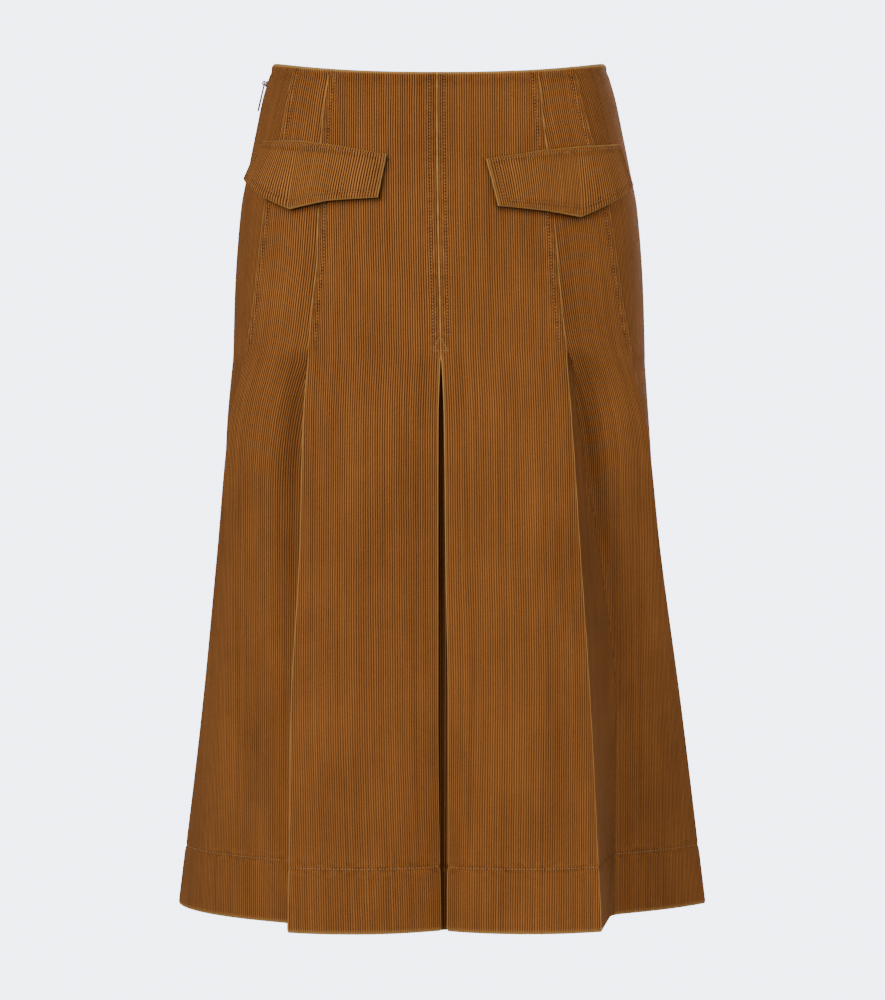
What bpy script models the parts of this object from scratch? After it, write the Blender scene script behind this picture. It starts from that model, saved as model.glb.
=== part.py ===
"""Pleated midi skirt in corduroy, filled out as it is when worn.

Metres, +Z up. The origin is the centre of the waist opening, at the height of its sides. The front
faces -Y, so the wearer's right is at -X. Every gore is a wall of cloth that runs from the waist edge to
the hem. Down to RELEASE the gores are sewn edge to edge on a smooth ring. Below it their edges fold
back, as an inverted pleat at the centre front and back and as pleats that face the sides.

Plan points are complex numbers: across is the distance from the skirt's middle towards one side, and
out is the distance from the mid-plane towards the front, or towards the back on the back gores.
"""

import cmath
import math
from collections import namedtuple

import bmesh
import bpy
from mathutils import Matrix, Vector

# Driving sizes.
LENGTH = 0.699
RELEASE = -0.246
WALL = 0.0015
SEAM_GAP = 0.0003
STACK_GAP = 0.0007
FOLD_RADIUS = 0.0020
WAIST_DIP = 0.018
DIP_REACH = 0.100
ROUNDNESS = 2.3
CENTRE_SHIFT = 0.0015

RIGHT, LEFT = -1, 1

# Nominal heights of the rows of points. The gores hold all of them, the folds only those from RELEASE down.
UPPER_ROWS = (0.0, -0.012, -0.035, -0.062, -0.095, -0.130, -0.165, -0.200, -0.226, -0.240)
LOWER_ROWS = (RELEASE, -0.266, -0.294, -0.333, -0.386, -0.450, -0.530, -0.615, -LENGTH)

# The ring that the sewn gores lie on.
Ring = namedtuple("Ring", "z half_width front back")
RINGS = (
    Ring(0.000, 0.1376, 0.0970, 0.0970),
    Ring(-0.029, 0.1464, 0.1010, 0.1000),
    Ring(-0.054, 0.1516, 0.1040, 0.1050),
    Ring(-0.087, 0.1582, 0.1078, 0.1115),
    Ring(-0.120, 0.1644, 0.1110, 0.1180),
    Ring(-0.187, 0.1694, 0.1160, 0.1260),
    Ring(-0.246, 0.1710, 0.1180, 0.1300),
)

# Where the seams cross the ring: the centre front's offset, and the others as shares of the half width.
Seams = namedtuple("Seams", "z centre right_front left_front right_side left_side back back_side")
SEAMS = (
    Seams(0.000, -0.0016, 0.640, 0.563, 0.844, 0.780, 0.625, 0.845),
    Seams(-0.012, -0.0016, 0.620, 0.558, 0.837, 0.778, 0.615, 0.838),
    Seams(-0.035, -0.0017, 0.622, 0.554, 0.834, 0.780, 0.600, 0.830),
    Seams(-0.065, -0.0016, 0.614, 0.553, 0.839, 0.802, 0.585, 0.826),
    Seams(-0.130, -0.0009, 0.588, 0.558, 0.864, 0.840, 0.575, 0.855),
    Seams(-0.165, -0.0002, 0.582, 0.565, 0.874, 0.857, 0.580, 0.870),
    Seams(-0.200, 0.0006, 0.598, 0.577, 0.890, 0.880, 0.588, 0.890),
    Seams(-0.246, 0.0015, 0.617, 0.602, 0.929, 0.927, 0.603, 0.918),
)

# The pleats of one side. centre is the fold of the inverted pleat, inner the hidden edge of its return,
# face the control point of the gore's curve, fold the edge of the front gore, valley the seam behind it,
# flank the control point of the side front gore, side its fold, under the hidden seam behind that fold,
# gore the point of the side gore under the fold, and seam the side seam.
Pleat = namedtuple(
    "Pleat",
    "z centre_x centre_y inner_x inner_y face_x face_y fold_x fold_y valley_x valley_y"
    " flank_x flank_y side_x side_y under_x under_y gore_x gore_y seam_x seam_y",
)
RIGHT_PLEATS = (
    Pleat(-0.246, 0.0002, 0.1180, 0.0400, 0.1118, 0.0530, 0.1212, 0.1065, 0.1002, 0.1050, 0.0950,
          0.1430, 0.0860, 0.1600, 0.0540, 0.1411, 0.0740, 0.1550, 0.0530, 0.1731, 0.0000),
    Pleat(-0.300, 0.0018, 0.1224, 0.0400, 0.1133, 0.0539, 0.1298, 0.1106, 0.1069, 0.1059, 0.0942,
          0.1509, 0.0818, 0.1740, 0.0441, 0.1455, 0.0630, 0.1655, 0.0420, 0.1781, -0.0044),
    Pleat(-0.403, 0.0020, 0.1303, 0.0400, 0.1174, 0.0555, 0.1461, 0.1127, 0.1219, 0.1077, 0.0991,
          0.1640, 0.0762, 0.1848, 0.0265, 0.1533, 0.0462, 0.1740, 0.0250, 0.1825, -0.0123),
    Pleat(-0.530, 0.0020, 0.1400, 0.0400, 0.1224, 0.0575, 0.1662, 0.1188, 0.1404, 0.1096, 0.1051,
          0.1812, 0.0692, 0.1984, 0.0048, 0.1631, 0.0255, 0.1852, 0.0048, 0.1921, -0.0220),
    Pleat(-0.699, -0.0001, 0.1530, 0.0400, 0.1290, 0.0600, 0.1930, 0.1198, 0.1650, 0.1120, 0.1130,
          0.2050, 0.0600, 0.2203, -0.0240, 0.1760, -0.0020, 0.2000, -0.0220, 0.2050, -0.0350),
)
LEFT_PLEATS = (
    Pleat(-0.246, 0.0002, 0.1180, 0.0400, 0.1118, 0.0510, 0.1202, 0.1012, 0.1022, 0.1025, 0.0967,
          0.1380, 0.0875, 0.1555, 0.0580, 0.1360, 0.0770, 0.1505, 0.0566, 0.1694, 0.0000),
    Pleat(-0.300, 0.0023, 0.1228, 0.0400, 0.1137, 0.0524, 0.1298, 0.1053, 0.1085, 0.1085, 0.0886,
          0.1446, 0.0798, 0.1688, 0.0476, 0.1411, 0.0662, 0.1595, 0.0455, 0.1734, -0.0044),
    Pleat(-0.403, 0.0034, 0.1314, 0.0400, 0.1184, 0.0549, 0.1453, 0.1116, 0.1218, 0.1262, 0.0798,
          0.1563, 0.0651, 0.1813, 0.0291, 0.1501, 0.0478, 0.1710, 0.0275, 0.1805, -0.0123),
    Pleat(-0.530, 0.0055, 0.1415, 0.0400, 0.1240, 0.0578, 0.1655, 0.1192, 0.1392, 0.1402, 0.0690,
          0.1745, 0.0470, 0.1998, 0.0056, 0.1631, 0.0255, 0.1852, 0.0048, 0.1915, -0.0220),
    Pleat(-0.699, 0.0052, 0.1560, 0.0400, 0.1320, 0.0620, 0.1900, 0.1261, 0.1600, 0.1392, 0.0547,
          0.1900, 0.0230, 0.2222, -0.0240, 0.1760, -0.0050, 0.2000, -0.0220, 0.2050, -0.0350),
)
BACK_PLEATS = (
    Pleat(-0.246, 0.0002, 0.1300, 0.0400, 0.1226, 0.0520, 0.1330, 0.1030, 0.1112, 0.1032, 0.1062,
          0.1395, 0.0950, 0.1570, 0.0625, 0.1375, 0.0815, 0.1515, 0.0602, 0.1710, 0.0000),
    Pleat(-0.300, 0.0022, 0.1341, 0.0400, 0.1247, 0.0531, 0.1410, 0.1070, 0.1182, 0.1068, 0.1026,
          0.1474, 0.0947, 0.1700, 0.0604, 0.1424, 0.0770, 0.1600, 0.0575, 0.1750, 0.0044),
    Pleat(-0.403, 0.0024, 0.1413, 0.0400, 0.1282, 0.0552, 0.1552, 0.1120, 0.1311, 0.1117, 0.1019,
          0.1604, 0.0925, 0.1840, 0.0567, 0.1511, 0.0700, 0.1710, 0.0535, 0.1812, 0.0123),
    Pleat(-0.699, 0.0030, 0.1620, 0.0400, 0.1380, 0.0610, 0.1960, 0.1215, 0.1680, 0.1260, 0.1000,
          0.1980, 0.0860, 0.2190, 0.0460, 0.1760, 0.0560, 0.2000, 0.0450, 0.2050, 0.0350),
)

# Steps between points along a gore's plan.
FACE_STEPS = 10
FLANK_STEPS = 7
GORE_STEPS = 4
RETURN_STEPS = 2
FOLD_STEPS = 3
UNDERLAY_STEPS = 8

# How far an underlay swells into its pleat at its top and at its hem, as a share of the pleat's depth,
# and how round it is there.
UNDERLAY_RISE = (0.55, 0.97)
UNDERLAY_ROUND = 1.05

# A pocket flap: stations from its inner end to its outer one, as turns round the ring in degrees and
# heights, at its top and at its bottom edge, and how far the bottom edge stands off the cloth.
Station = namedtuple("Station", "share top_turn top_z bottom_turn bottom_z stand")
RIGHT_FLAP = (
    Station(0.0, 12.4, -0.0817, 14.1, -0.1201, 0.0015),
    Station(0.3, 27.8, -0.0725, 29.0, -0.1219, 0.0020),
    Station(0.6, 43.2, -0.0672, 42.5, -0.1276, 0.0022),
    Station(1.0, 66.0, -0.0666, 77.1, -0.0971, 0.0007),
)
LEFT_FLAP = (
    Station(0.0, 10.8, -0.0863, 13.5, -0.1269, 0.0015),
    Station(0.3, 27.3, -0.0775, 26.9, -0.1301, 0.0020),
    Station(0.6, 41.9, -0.0729, 39.1, -0.1343, 0.0022),
    Station(1.0, 69.3, -0.0688, 73.0, -0.1034, 0.0007),
)
FLAP_THICKNESS = 0.0028
FLAP_CLEARANCE = 0.0010
FLAP_COLUMNS = 20
FLAP_ROWS = 5

# The concealed zip in the wearer's right side seam.
ZIP_ROWS = UPPER_ROWS[1:8]
ZIP_PARTING = 0.0026
ZIP_PARTING_DEPTH = 0.030
TAPE_WIDTH = 0.011
TAPE_THICKNESS = 0.0010
TAPE_GAP = 0.0005
CHAIN_WIDTH = 0.0036
CHAIN_THICKNESS = 0.0018
CHAIN_TOP = -0.0226
SLIDER_HEIGHT = 0.011
SLIDER_WIDTH = 0.0066
SLIDER_DEPTH = 0.0050
SLIDER_INSET = 0.0021
SLIDER_EDGE = 0.0008
NECK_WIDTH = 0.0014
NECK_HEIGHT = 0.0050
RING_INNER = 0.0011
RING_OUTER = 0.0021
RING_THICKNESS = 0.0012
RING_STEPS = 20
PULL_AXIS_OUT = 0.0029
PULL_AXIS_Z = -0.0155
PULL_TILT = math.radians(13.0)
PULL_LENGTH = 0.0240
PULL_TOP_HALF = 0.0026
PULL_END_HALF = 0.0036
PULL_THICKNESS = 0.0010
PULL_BAR = 0.0006
WINDOW_REACH = 0.0034
WINDOW_HALF = 0.0014
END_STEPS = 8
TIE_OVERLAP = 0.0004

Look = namedtuple("Look", "colour roughness metallic")
CORDUROY = Look((0.222, 0.078, 0.017), 0.92, 0.0)
UNDER_CORDUROY = Look((0.160, 0.055, 0.013), 0.95, 0.0)
TAPE = Look((0.110, 0.045, 0.014), 0.85, 0.0)
METAL = Look((0.260, 0.170, 0.080), 0.35, 1.0)


def clear_scene():
    for item in list(bpy.data.objects):
        bpy.data.objects.remove(item, do_unlink=True)


def slopes_of(heights, values):
    """The slope at each row that keeps a curve through the rows from overshooting any of them."""
    chords = [
        (values[k + 1] - values[k]) / (heights[k + 1] - heights[k]) for k in range(len(values) - 1)
    ]
    inner = [
        2.0 * before * after / (before + after) if before * after > 0.0 else 0.0
        for before, after in zip(chords, chords[1:])
    ]
    return [chords[0]] + inner + [chords[-1]]


def row_at(table, z):
    """The table's row at any height, each column read from a smooth curve through its rows."""
    z = min(max(z, table[-1].z), table[0].z)
    heights = [row.z for row in table]
    k = max(index for index in range(len(table) - 1) if heights[index] >= z)
    span = heights[k + 1] - heights[k]
    t = (z - heights[k]) / span
    found = []
    for column in range(len(table[0])):
        values = [row[column] for row in table]
        slopes = slopes_of(heights, values)
        found.append(
            values[k] * (1 + 2 * t) * (1 - t) ** 2
            + slopes[k] * span * t * (1 - t) ** 2
            + values[k + 1] * t * t * (3 - 2 * t)
            - slopes[k + 1] * span * t * t * (1 - t)
        )
    return type(table[0])(*found)


def turn_of(share):
    """The turn round the ring, from the middle towards the side, of a share of the half width."""
    return math.copysign(math.asin(min(1.0, abs(share) ** (ROUNDNESS / 2))), share)


def ring_point(z, turn, front):
    """The ring's plan point at a turn. Past a quarter turn it goes on round the other half."""
    ring = row_at(RINGS, z)
    depth = ring.front if front else ring.back
    if math.cos(turn) < 0.0:
        depth = ring.back if front else ring.front
    across = math.copysign(abs(math.sin(turn)) ** (2 / ROUNDNESS), math.sin(turn))
    out = math.copysign(abs(math.cos(turn)) ** (2 / ROUNDNESS), math.cos(turn))
    return complex(ring.half_width * across, depth * out)


def waist_dip(z, turn, front):
    """How far the front's waist edge drops below its sides, faded out down the hip."""
    if not front or z < -DIP_REACH:
        return 0.0
    return WAIST_DIP * abs(math.cos(turn)) ** 1.5 * (1.0 + z / DIP_REACH)


def ring_run(z, first_turn, last_turn, steps, front):
    """Points along the ring between two seams, each with its height."""
    run = []
    for step in range(steps + 1):
        turn = first_turn + (last_turn - first_turn) * step / steps
        height = z - waist_dip(z, turn, front)
        run.append((ring_point(height, turn, front), height))
    return run


def touch(point, centre, way):
    """Where the cloth from a point meets a fold's circle. way is 1 before the fold and -1 after it."""
    away = centre - point
    angle = math.asin(FOLD_RADIUS / abs(away))
    reach = math.sqrt(abs(away) ** 2 - FOLD_RADIUS**2)
    return point + cmath.rect(reach, cmath.phase(away) + way * angle)


def fold_run(before, centre, after):
    """The round of a fold, turned clockwise from the cloth before it to the cloth after it."""
    start = cmath.phase(touch(before, centre, 1) - centre)
    end = cmath.phase(touch(after, centre, -1) - centre)
    while end > start:
        end -= 2.0 * math.pi
    return [
        centre + cmath.rect(FOLD_RADIUS, start + (end - start) * step / FOLD_STEPS)
        for step in range(FOLD_STEPS + 1)
    ]


def line_run(start, end, steps):
    return [start + (end - start) * step / steps for step in range(steps + 1)]


def curve_run(start, control, end, steps):
    found = []
    for step in range(steps + 1):
        t = step / steps
        found.append(start * (1 - t) ** 2 + control * 2 * t * (1 - t) + end * t * t)
    return found


def pleat_of(side, front, z):
    """Every named point of one side's pleats at a height, as plan points."""
    own = RIGHT_PLEATS if side == RIGHT else LEFT_PLEATS
    row = row_at(own if front else BACK_PLEATS, z)
    fall = (RELEASE - z) / (LENGTH + RELEASE)
    shift = side * CENTRE_SHIFT * (1.0 if front else fall)
    points = {
        name: complex(getattr(row, name + "_x") + shift, getattr(row, name + "_y"))
        for name in ("centre", "inner", "face", "fold", "valley", "flank", "side", "under", "gore")
    }
    shared = row_at(own, z)
    seam = complex(shared.seam_x + side * CENTRE_SHIFT, shared.seam_y)
    points["seam"] = seam if front else seam.conjugate()
    points["centre_round"] = points["centre"] + complex(FOLD_RADIUS, -FOLD_RADIUS)
    points["fold_round"] = points["fold"] - complex(FOLD_RADIUS, FOLD_RADIUS)
    points["side_round"] = points["side"] + complex(-1.3 * FOLD_RADIUS, 0.5 * FOLD_RADIUS)
    return points


def inner_run(side, front, z):
    """The main gore's plan below RELEASE: return, fold, face, fold, return."""
    p = pleat_of(side, front, z)
    first = fold_run(p["inner"], p["centre_round"], p["face"])
    second = fold_run(p["face"], p["fold_round"], p["valley"])
    return (
        line_run(p["inner"], first[0], RETURN_STEPS)[:-1]
        + first
        + curve_run(first[-1], p["face"], second[0], FACE_STEPS)[1:-1]
        + second
        + line_run(second[-1], p["valley"], RETURN_STEPS)[1:]
    )


def flank_run(side, front, z):
    """The side front or side back gore's plan below RELEASE: face, fold, return."""
    p = pleat_of(side, front, z)
    edge = fold_run(p["flank"], p["side_round"], p["under"])
    return (
        curve_run(p["valley"], p["flank"], edge[0], FLANK_STEPS)[:-1]
        + edge
        + line_run(edge[-1], p["under"], RETURN_STEPS)[1:]
    )


def gore_run(side, front, z):
    """The side gore's plan below RELEASE: the strip under the fold, then the part that shows."""
    p = pleat_of(side, front, z)
    towards_body = -p["under"] / abs(p["under"])
    start = p["under"] + STACK_GAP * towards_body
    control = complex(p["seam"].real, (p["gore"].imag + p["seam"].imag) / 2)
    return line_run(start, p["gore"], RETURN_STEPS)[:-1] + curve_run(
        p["gore"], control, p["seam"], GORE_STEPS
    )


def seam_turns(side, front, z):
    """The turns of the centre, the princess seam and the side pleat's seam on the ring."""
    seams = row_at(SEAMS, z)
    half_width = row_at(RINGS, z).half_width
    if not front:
        return 0.0, turn_of(seams.back), turn_of(seams.back_side)
    centre = turn_of(side * seams.centre / half_width)
    if side == RIGHT:
        return centre, turn_of(seams.right_front), turn_of(seams.right_side)
    return centre, turn_of(seams.left_front), turn_of(seams.left_side)


def parting(side, z):
    """Half the width of the side seam's gap, which is wide only round the zip's slider."""
    if side == RIGHT and z > -ZIP_PARTING_DEPTH:
        return ZIP_PARTING / 2
    return SEAM_GAP / 2


def trimmed(run, first_gap, last_gap):
    """The run with its two ends drawn back along the cloth."""
    ends = [(0, 1, first_gap), (-1, -2, last_gap)]
    moved = list(run)
    for end, beside, gap in ends:
        (tip, height), (near, _) = run[end], run[beside]
        moved[end] = (tip + (near - tip) / abs(near - tip) * gap, height)
    return moved


def gore_rows(side, front, which):
    """Rows of (plan point, height) for a gore. A row above RELEASE leaves out the folds' columns."""
    spans = {"main": (0, 1), "flank": (1, 2), "side": (2, 3)}
    steps = {"main": FACE_STEPS, "flank": FLANK_STEPS, "side": GORE_STEPS}[which]
    before = {"main": RETURN_STEPS + FOLD_STEPS, "flank": 0, "side": RETURN_STEPS}[which]
    after = {"main": FOLD_STEPS + RETURN_STEPS, "flank": FOLD_STEPS + RETURN_STEPS, "side": 0}[which]
    lower = {"main": inner_run, "flank": flank_run, "side": gore_run}[which]
    first, last = spans[which]
    rows = []
    for z in UPPER_ROWS:
        turns = seam_turns(side, front, z) + (math.pi / 2,)
        run = ring_run(z, turns[first], turns[last], steps, front)
        last_gap = parting(side, z) if which == "side" else SEAM_GAP / 2
        rows.append([None] * before + trimmed(run, SEAM_GAP / 2, last_gap) + [None] * after)
    for z in LOWER_ROWS:
        run = [(point, z) for point in lower(side, front, z)]
        rows.append(trimmed(run, SEAM_GAP / 2, SEAM_GAP / 2))
    return rows


def normals_of(row, last_facing):
    """The way each point of a row faces in plan: to the left of the way the row runs."""
    there = [k for k, item in enumerate(row) if item is not None]
    facing = [None] * len(row)
    for k in there:
        ahead = row[min(k + 1, there[-1])][0]
        behind = row[max(k - 1, there[0])][0]
        facing[k] = (ahead - behind) / abs(ahead - behind) * 1j
    if last_facing is not None:
        facing[there[-1]] = last_facing
    return facing


def in_space(side, front, point, height):
    return Vector((side * point.real, -point.imag if front else point.imag, height))


def wall(outer, inner):
    """One closed wall between two grids of points. A cell is left out where a corner is None."""
    mesh = bmesh.new()
    grids = [
        [[mesh.verts.new(item) if item is not None else None for item in row] for row in grid]
        for grid in (outer, inner)
    ]
    edges = {}
    for j in range(len(outer) - 1):
        for i in range(len(outer[0]) - 1):
            corners = [(j, i), (j, i + 1), (j + 1, i + 1), (j + 1, i)]
            if any(outer[row][column] is None for row, column in corners):
                continue
            mesh.faces.new([grids[0][row][column] for row, column in corners])
            mesh.faces.new([grids[1][row][column] for row, column in reversed(corners)])
            for k in range(4):
                start, end = corners[k], corners[(k + 1) % 4]
                if (end, start) in edges:
                    del edges[(end, start)]
                else:
                    edges[(start, end)] = True
    for start, end in edges:
        rim = [grids[0][end[0]][end[1]], grids[0][start[0]][start[1]]]
        rim += [grids[1][start[0]][start[1]], grids[1][end[0]][end[1]]]
        mesh.faces.new(rim)
    return mesh


def finished(name, mesh, look, smooth=True):
    """Turns a bmesh into a named object of one closed mesh that faces outwards."""
    loose = [vert for vert in mesh.verts if not vert.link_faces]
    bmesh.ops.delete(mesh, geom=loose, context="VERTS")
    bmesh.ops.recalc_face_normals(mesh, faces=mesh.faces)
    data = bpy.data.meshes.new(name)
    mesh.to_mesh(data)
    mesh.free()
    if smooth:
        data.shade_smooth()
        data.set_sharp_from_angle(angle=math.radians(45))
    data.materials.append(material_of(look))
    item = bpy.data.objects.new(name, data)
    bpy.context.scene.collection.objects.link(item)
    return item


def material_of(look):
    name = "colour_" + "_".join(f"{int(1000 * part):03d}" for part in look.colour)
    if name in bpy.data.materials:
        return bpy.data.materials[name]
    material = bpy.data.materials.new(name)
    material.use_nodes = True
    shader = material.node_tree.nodes["Principled BSDF"]
    shader.inputs["Base Color"].default_value = (*look.colour, 1.0)
    shader.inputs["Roughness"].default_value = look.roughness
    shader.inputs["Metallic"].default_value = look.metallic
    return material


def cloth(name, side, front, rows, last_facing):
    """The wall of a gore from its rows of plan points."""
    outer, inner = [], []
    for row in rows:
        facing = normals_of(row, last_facing)
        outer.append([
            None if item is None else in_space(side, front, item[0], item[1]) for item in row
        ])
        inner.append([
            None if item is None else in_space(side, front, item[0] - WALL * facing[k], item[1])
            for k, item in enumerate(row)
        ])
    return finished(name, wall(outer, inner), CORDUROY)


def gores():
    names = {
        "main": ("front", "back"),
        "flank": ("side_front", "side_back"),
        "side": ("side_fore", "side_aft"),
    }
    for side, side_name in ((RIGHT, "right"), (LEFT, "left")):
        for which, pair in names.items():
            squarely = complex(1.0, 0.0) if which == "side" else None
            for front, stem in zip((True, False), pair):
                cloth(f"{stem}_{side_name}", side, front, gore_rows(side, front, which), squarely)


def underlay_run(front, z):
    """An underlay's plan, which keeps behind the returns and swells forwards between them."""
    right, left = pleat_of(RIGHT, front, z), pleat_of(LEFT, front, z)
    start = complex(-right["inner"].real, right["inner"].imag - STACK_GAP)
    end = complex(left["inner"].real, left["inner"].imag - STACK_GAP)
    depth = right["centre_round"].imag - FOLD_RADIUS - right["inner"].imag
    fall = (RELEASE - z) / (LENGTH + RELEASE)
    rise = depth * (UNDERLAY_RISE[0] + (UNDERLAY_RISE[1] - UNDERLAY_RISE[0]) * fall)
    run = []
    for step, point in enumerate(line_run(start, end, UNDERLAY_STEPS)):
        share = abs(2.0 * step / UNDERLAY_STEPS - 1.0)
        run.append(point + rise * (1.0 - share**UNDERLAY_ROUND) * 1j)
    return run


def underlay(name, front):
    """The strip that closes an inverted pleat from behind."""
    outer, inner = [], []
    for z in LOWER_ROWS:
        run = underlay_run(front, z)
        outer.append([in_space(LEFT, front, point, z) for point in run])
        inner.append([in_space(LEFT, front, point - WALL * 1j, z) for point in run])
    return finished(name, wall(outer, inner), UNDER_CORDUROY)


def station_at(table, share):
    """The flap's edges at a share of its length, on straight runs between its stations."""
    for before, after in zip(table, table[1:]):
        if share <= after.share:
            t = (share - before.share) / (after.share - before.share)
            return Station(*[a + (b - a) * t for a, b in zip(before, after)])
    return table[-1]


def ring_facing(z, turn, front):
    """The way the ring faces in plan at a turn."""
    step = math.radians(0.5)
    along = ring_point(z, turn + step, front) - ring_point(z, turn - step, front)
    return along / abs(along) * 1j


def flap(name, side, table):
    """A pocket flap: double cloth that lies on the ring, sewn along its top edge."""
    outer, inner = [], []
    for j in range(FLAP_ROWS + 1):
        down = j / FLAP_ROWS
        outer_row, inner_row = [], []
        for i in range(FLAP_COLUMNS + 1):
            station = station_at(table, i / FLAP_COLUMNS)
            turn = math.radians(station.top_turn + (station.bottom_turn - station.top_turn) * down)
            z = station.top_z + (station.bottom_z - station.top_z) * down
            z -= waist_dip(z, turn, True)
            facing = ring_facing(z, turn, True)
            lift = FLAP_CLEARANCE + station.stand * down**1.5
            point = ring_point(z, turn, True) + lift * facing
            inner_row.append(in_space(side, True, point, z))
            outer_row.append(in_space(side, True, point + FLAP_THICKNESS * facing, z))
        outer.append(outer_row)
        inner.append(inner_row)
    return finished(name, wall(outer, inner), CORDUROY)


def side_edge(z):
    """The distance of the side seam from the skirt's middle, on straight runs between the gores' rows."""
    for above, below in zip(UPPER_ROWS, UPPER_ROWS[1:]):
        if z >= below:
            break
    t = (above - z) / (above - below)
    return row_at(RINGS, above).half_width * (1.0 - t) + row_at(RINGS, below).half_width * t


def zip_tape(name, front):
    """One tape of the zip, inside the side gore beside its seam."""
    quarter = math.pi / 2
    outer, inner = [], []
    for z in ZIP_ROWS:
        spread = TAPE_WIDTH / row_at(RINGS, z).front
        outer_row, inner_row = [], []
        for turn in (quarter - CHAIN_WIDTH / side_edge(z), quarter - spread):
            facing = ring_facing(z, turn, front)
            point = ring_point(z, turn, front) - (WALL + TAPE_GAP) * facing
            outer_row.append(in_space(RIGHT, front, point, z))
            inner_row.append(in_space(RIGHT, front, point - TAPE_THICKNESS * facing, z))
        outer.append(outer_row)
        inner.append(inner_row)
    return finished(name, wall(outer, inner), TAPE)


def zip_chain():
    """The closed chain, a bar behind the seam from the slider down to the end of the tapes."""
    outer, inner = [], []
    for z in (CHAIN_TOP,) + ZIP_ROWS[1:]:
        x = -side_edge(z) + WALL + TAPE_GAP
        for grid, depth in ((outer, 0.0), (inner, CHAIN_THICKNESS)):
            grid.append([Vector((x + depth, y, z)) for y in (-CHAIN_WIDTH / 2, CHAIN_WIDTH / 2)])
    return finished("zip_chain", wall(outer, inner), METAL)


def box_mesh(low, high):
    mesh = bmesh.new()
    bmesh.ops.create_cube(mesh, size=1.0)
    size = Vector(high) - Vector(low)
    bmesh.ops.scale(mesh, vec=size, verts=mesh.verts)
    bmesh.ops.translate(mesh, vec=(Vector(low) + Vector(high)) / 2, verts=mesh.verts)
    return mesh


def plate(outline, hole, half_thickness):
    """A flat plate with one hole, in the XZ plane and centred on it."""
    mesh = bmesh.new()
    loops = []
    for ring in (outline, hole):
        for y in (-half_thickness, half_thickness):
            loops.append([mesh.verts.new((x, y, z)) for x, z in ring])
    count = len(outline)
    for k in range(count):
        n = (k + 1) % count
        front_outer, back_outer, front_hole, back_hole = loops
        mesh.faces.new((front_outer[k], front_outer[n], back_outer[n], back_outer[k]))
        mesh.faces.new((front_hole[n], front_hole[k], back_hole[k], back_hole[n]))
        mesh.faces.new((front_outer[n], front_outer[k], front_hole[k], front_hole[n]))
        mesh.faces.new((back_outer[k], back_outer[n], back_hole[n], back_hole[k]))
    return mesh


def circle(radius, steps):
    turns = [2.0 * math.pi * step / steps for step in range(steps)]
    return [(radius * math.cos(turn), radius * math.sin(turn)) for turn in turns]


def slider_place():
    """The point of the side seam that the slider is centred on."""
    return Vector((-side_edge(PULL_AXIS_Z), 0.0, PULL_AXIS_Z))


def slider_lean():
    """The turn that lays an upright piece along the side seam at the slider."""
    top = PULL_AXIS_Z + SLIDER_HEIGHT / 2
    bottom = PULL_AXIS_Z - SLIDER_HEIGHT / 2
    angle = math.atan2(side_edge(bottom) - side_edge(top), SLIDER_HEIGHT)
    return Matrix.Rotation(angle, 3, "Y")


def hinge_place():
    return slider_place() + slider_lean() @ Vector((-PULL_AXIS_OUT, 0.0, 0.0))


def join(base, tool):
    """Adds the tool to the base as one solid, and hides the tool."""
    union = base.modifiers.new("join", "BOOLEAN")
    union.operation = "UNION"
    union.solver = "EXACT"
    union.object = tool
    tool.hide_render = True


def laid_on_seam(name, mesh, smooth=True):
    """A piece of the slider, made upright round the origin and laid along the side seam."""
    bmesh.ops.rotate(mesh, matrix=slider_lean(), verts=mesh.verts)
    bmesh.ops.translate(mesh, vec=slider_place(), verts=mesh.verts)
    return finished(name, mesh, METAL, smooth)


def zip_slider():
    """The slider behind the seam, with the neck through it and the ring that carries the pull."""
    half_width, half_height = SLIDER_WIDTH / 2, SLIDER_HEIGHT / 2
    body = box_mesh(
        (SLIDER_INSET, -half_width, -half_height),
        (SLIDER_INSET + SLIDER_DEPTH, half_width, half_height),
    )
    bmesh.ops.bevel(
        body, geom=body.edges, offset=SLIDER_EDGE, segments=2, profile=0.5, affect="EDGES",
        material=-1,
    )
    slider = laid_on_seam("zip_slider", body)
    neck = box_mesh(
        (-PULL_AXIS_OUT + RING_OUTER - 2 * TIE_OVERLAP, -NECK_WIDTH / 2, -NECK_HEIGHT / 2),
        (SLIDER_INSET + TIE_OVERLAP, NECK_WIDTH / 2, NECK_HEIGHT / 2),
    )
    ring = plate(
        circle(RING_OUTER, RING_STEPS), circle(RING_INNER, RING_STEPS), RING_THICKNESS / 2
    )
    bmesh.ops.translate(ring, vec=(-PULL_AXIS_OUT, 0.0, 0.0), verts=ring.verts)
    join(slider, laid_on_seam("slider_neck", neck, smooth=False))
    join(slider, laid_on_seam("slider_ring", ring))


def pull_outline():
    """The pull's outline and its window, from the same number of points, as (across, down) pairs."""
    end_centre = -PULL_LENGTH + PULL_END_HALF
    turns = [math.pi * step / END_STEPS for step in range(END_STEPS + 1)]
    end = [
        (PULL_END_HALF * math.cos(turn), end_centre - PULL_END_HALF * math.sin(turn))
        for turn in turns
    ]
    outline = [(PULL_TOP_HALF, PULL_BAR), (PULL_TOP_HALF, -WINDOW_REACH)] + end
    outline += [(-PULL_TOP_HALF, -WINDOW_REACH), (-PULL_TOP_HALF, PULL_BAR)]
    low = -WINDOW_REACH
    bottom = [(WINDOW_HALF * math.cos(turn), low) for turn in turns]
    window = [(WINDOW_HALF, -PULL_BAR), (WINDOW_HALF, low / 2)] + bottom
    window += [(-WINDOW_HALF, low / 2), (-WINDOW_HALF, -PULL_BAR)]
    return outline, window


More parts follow.
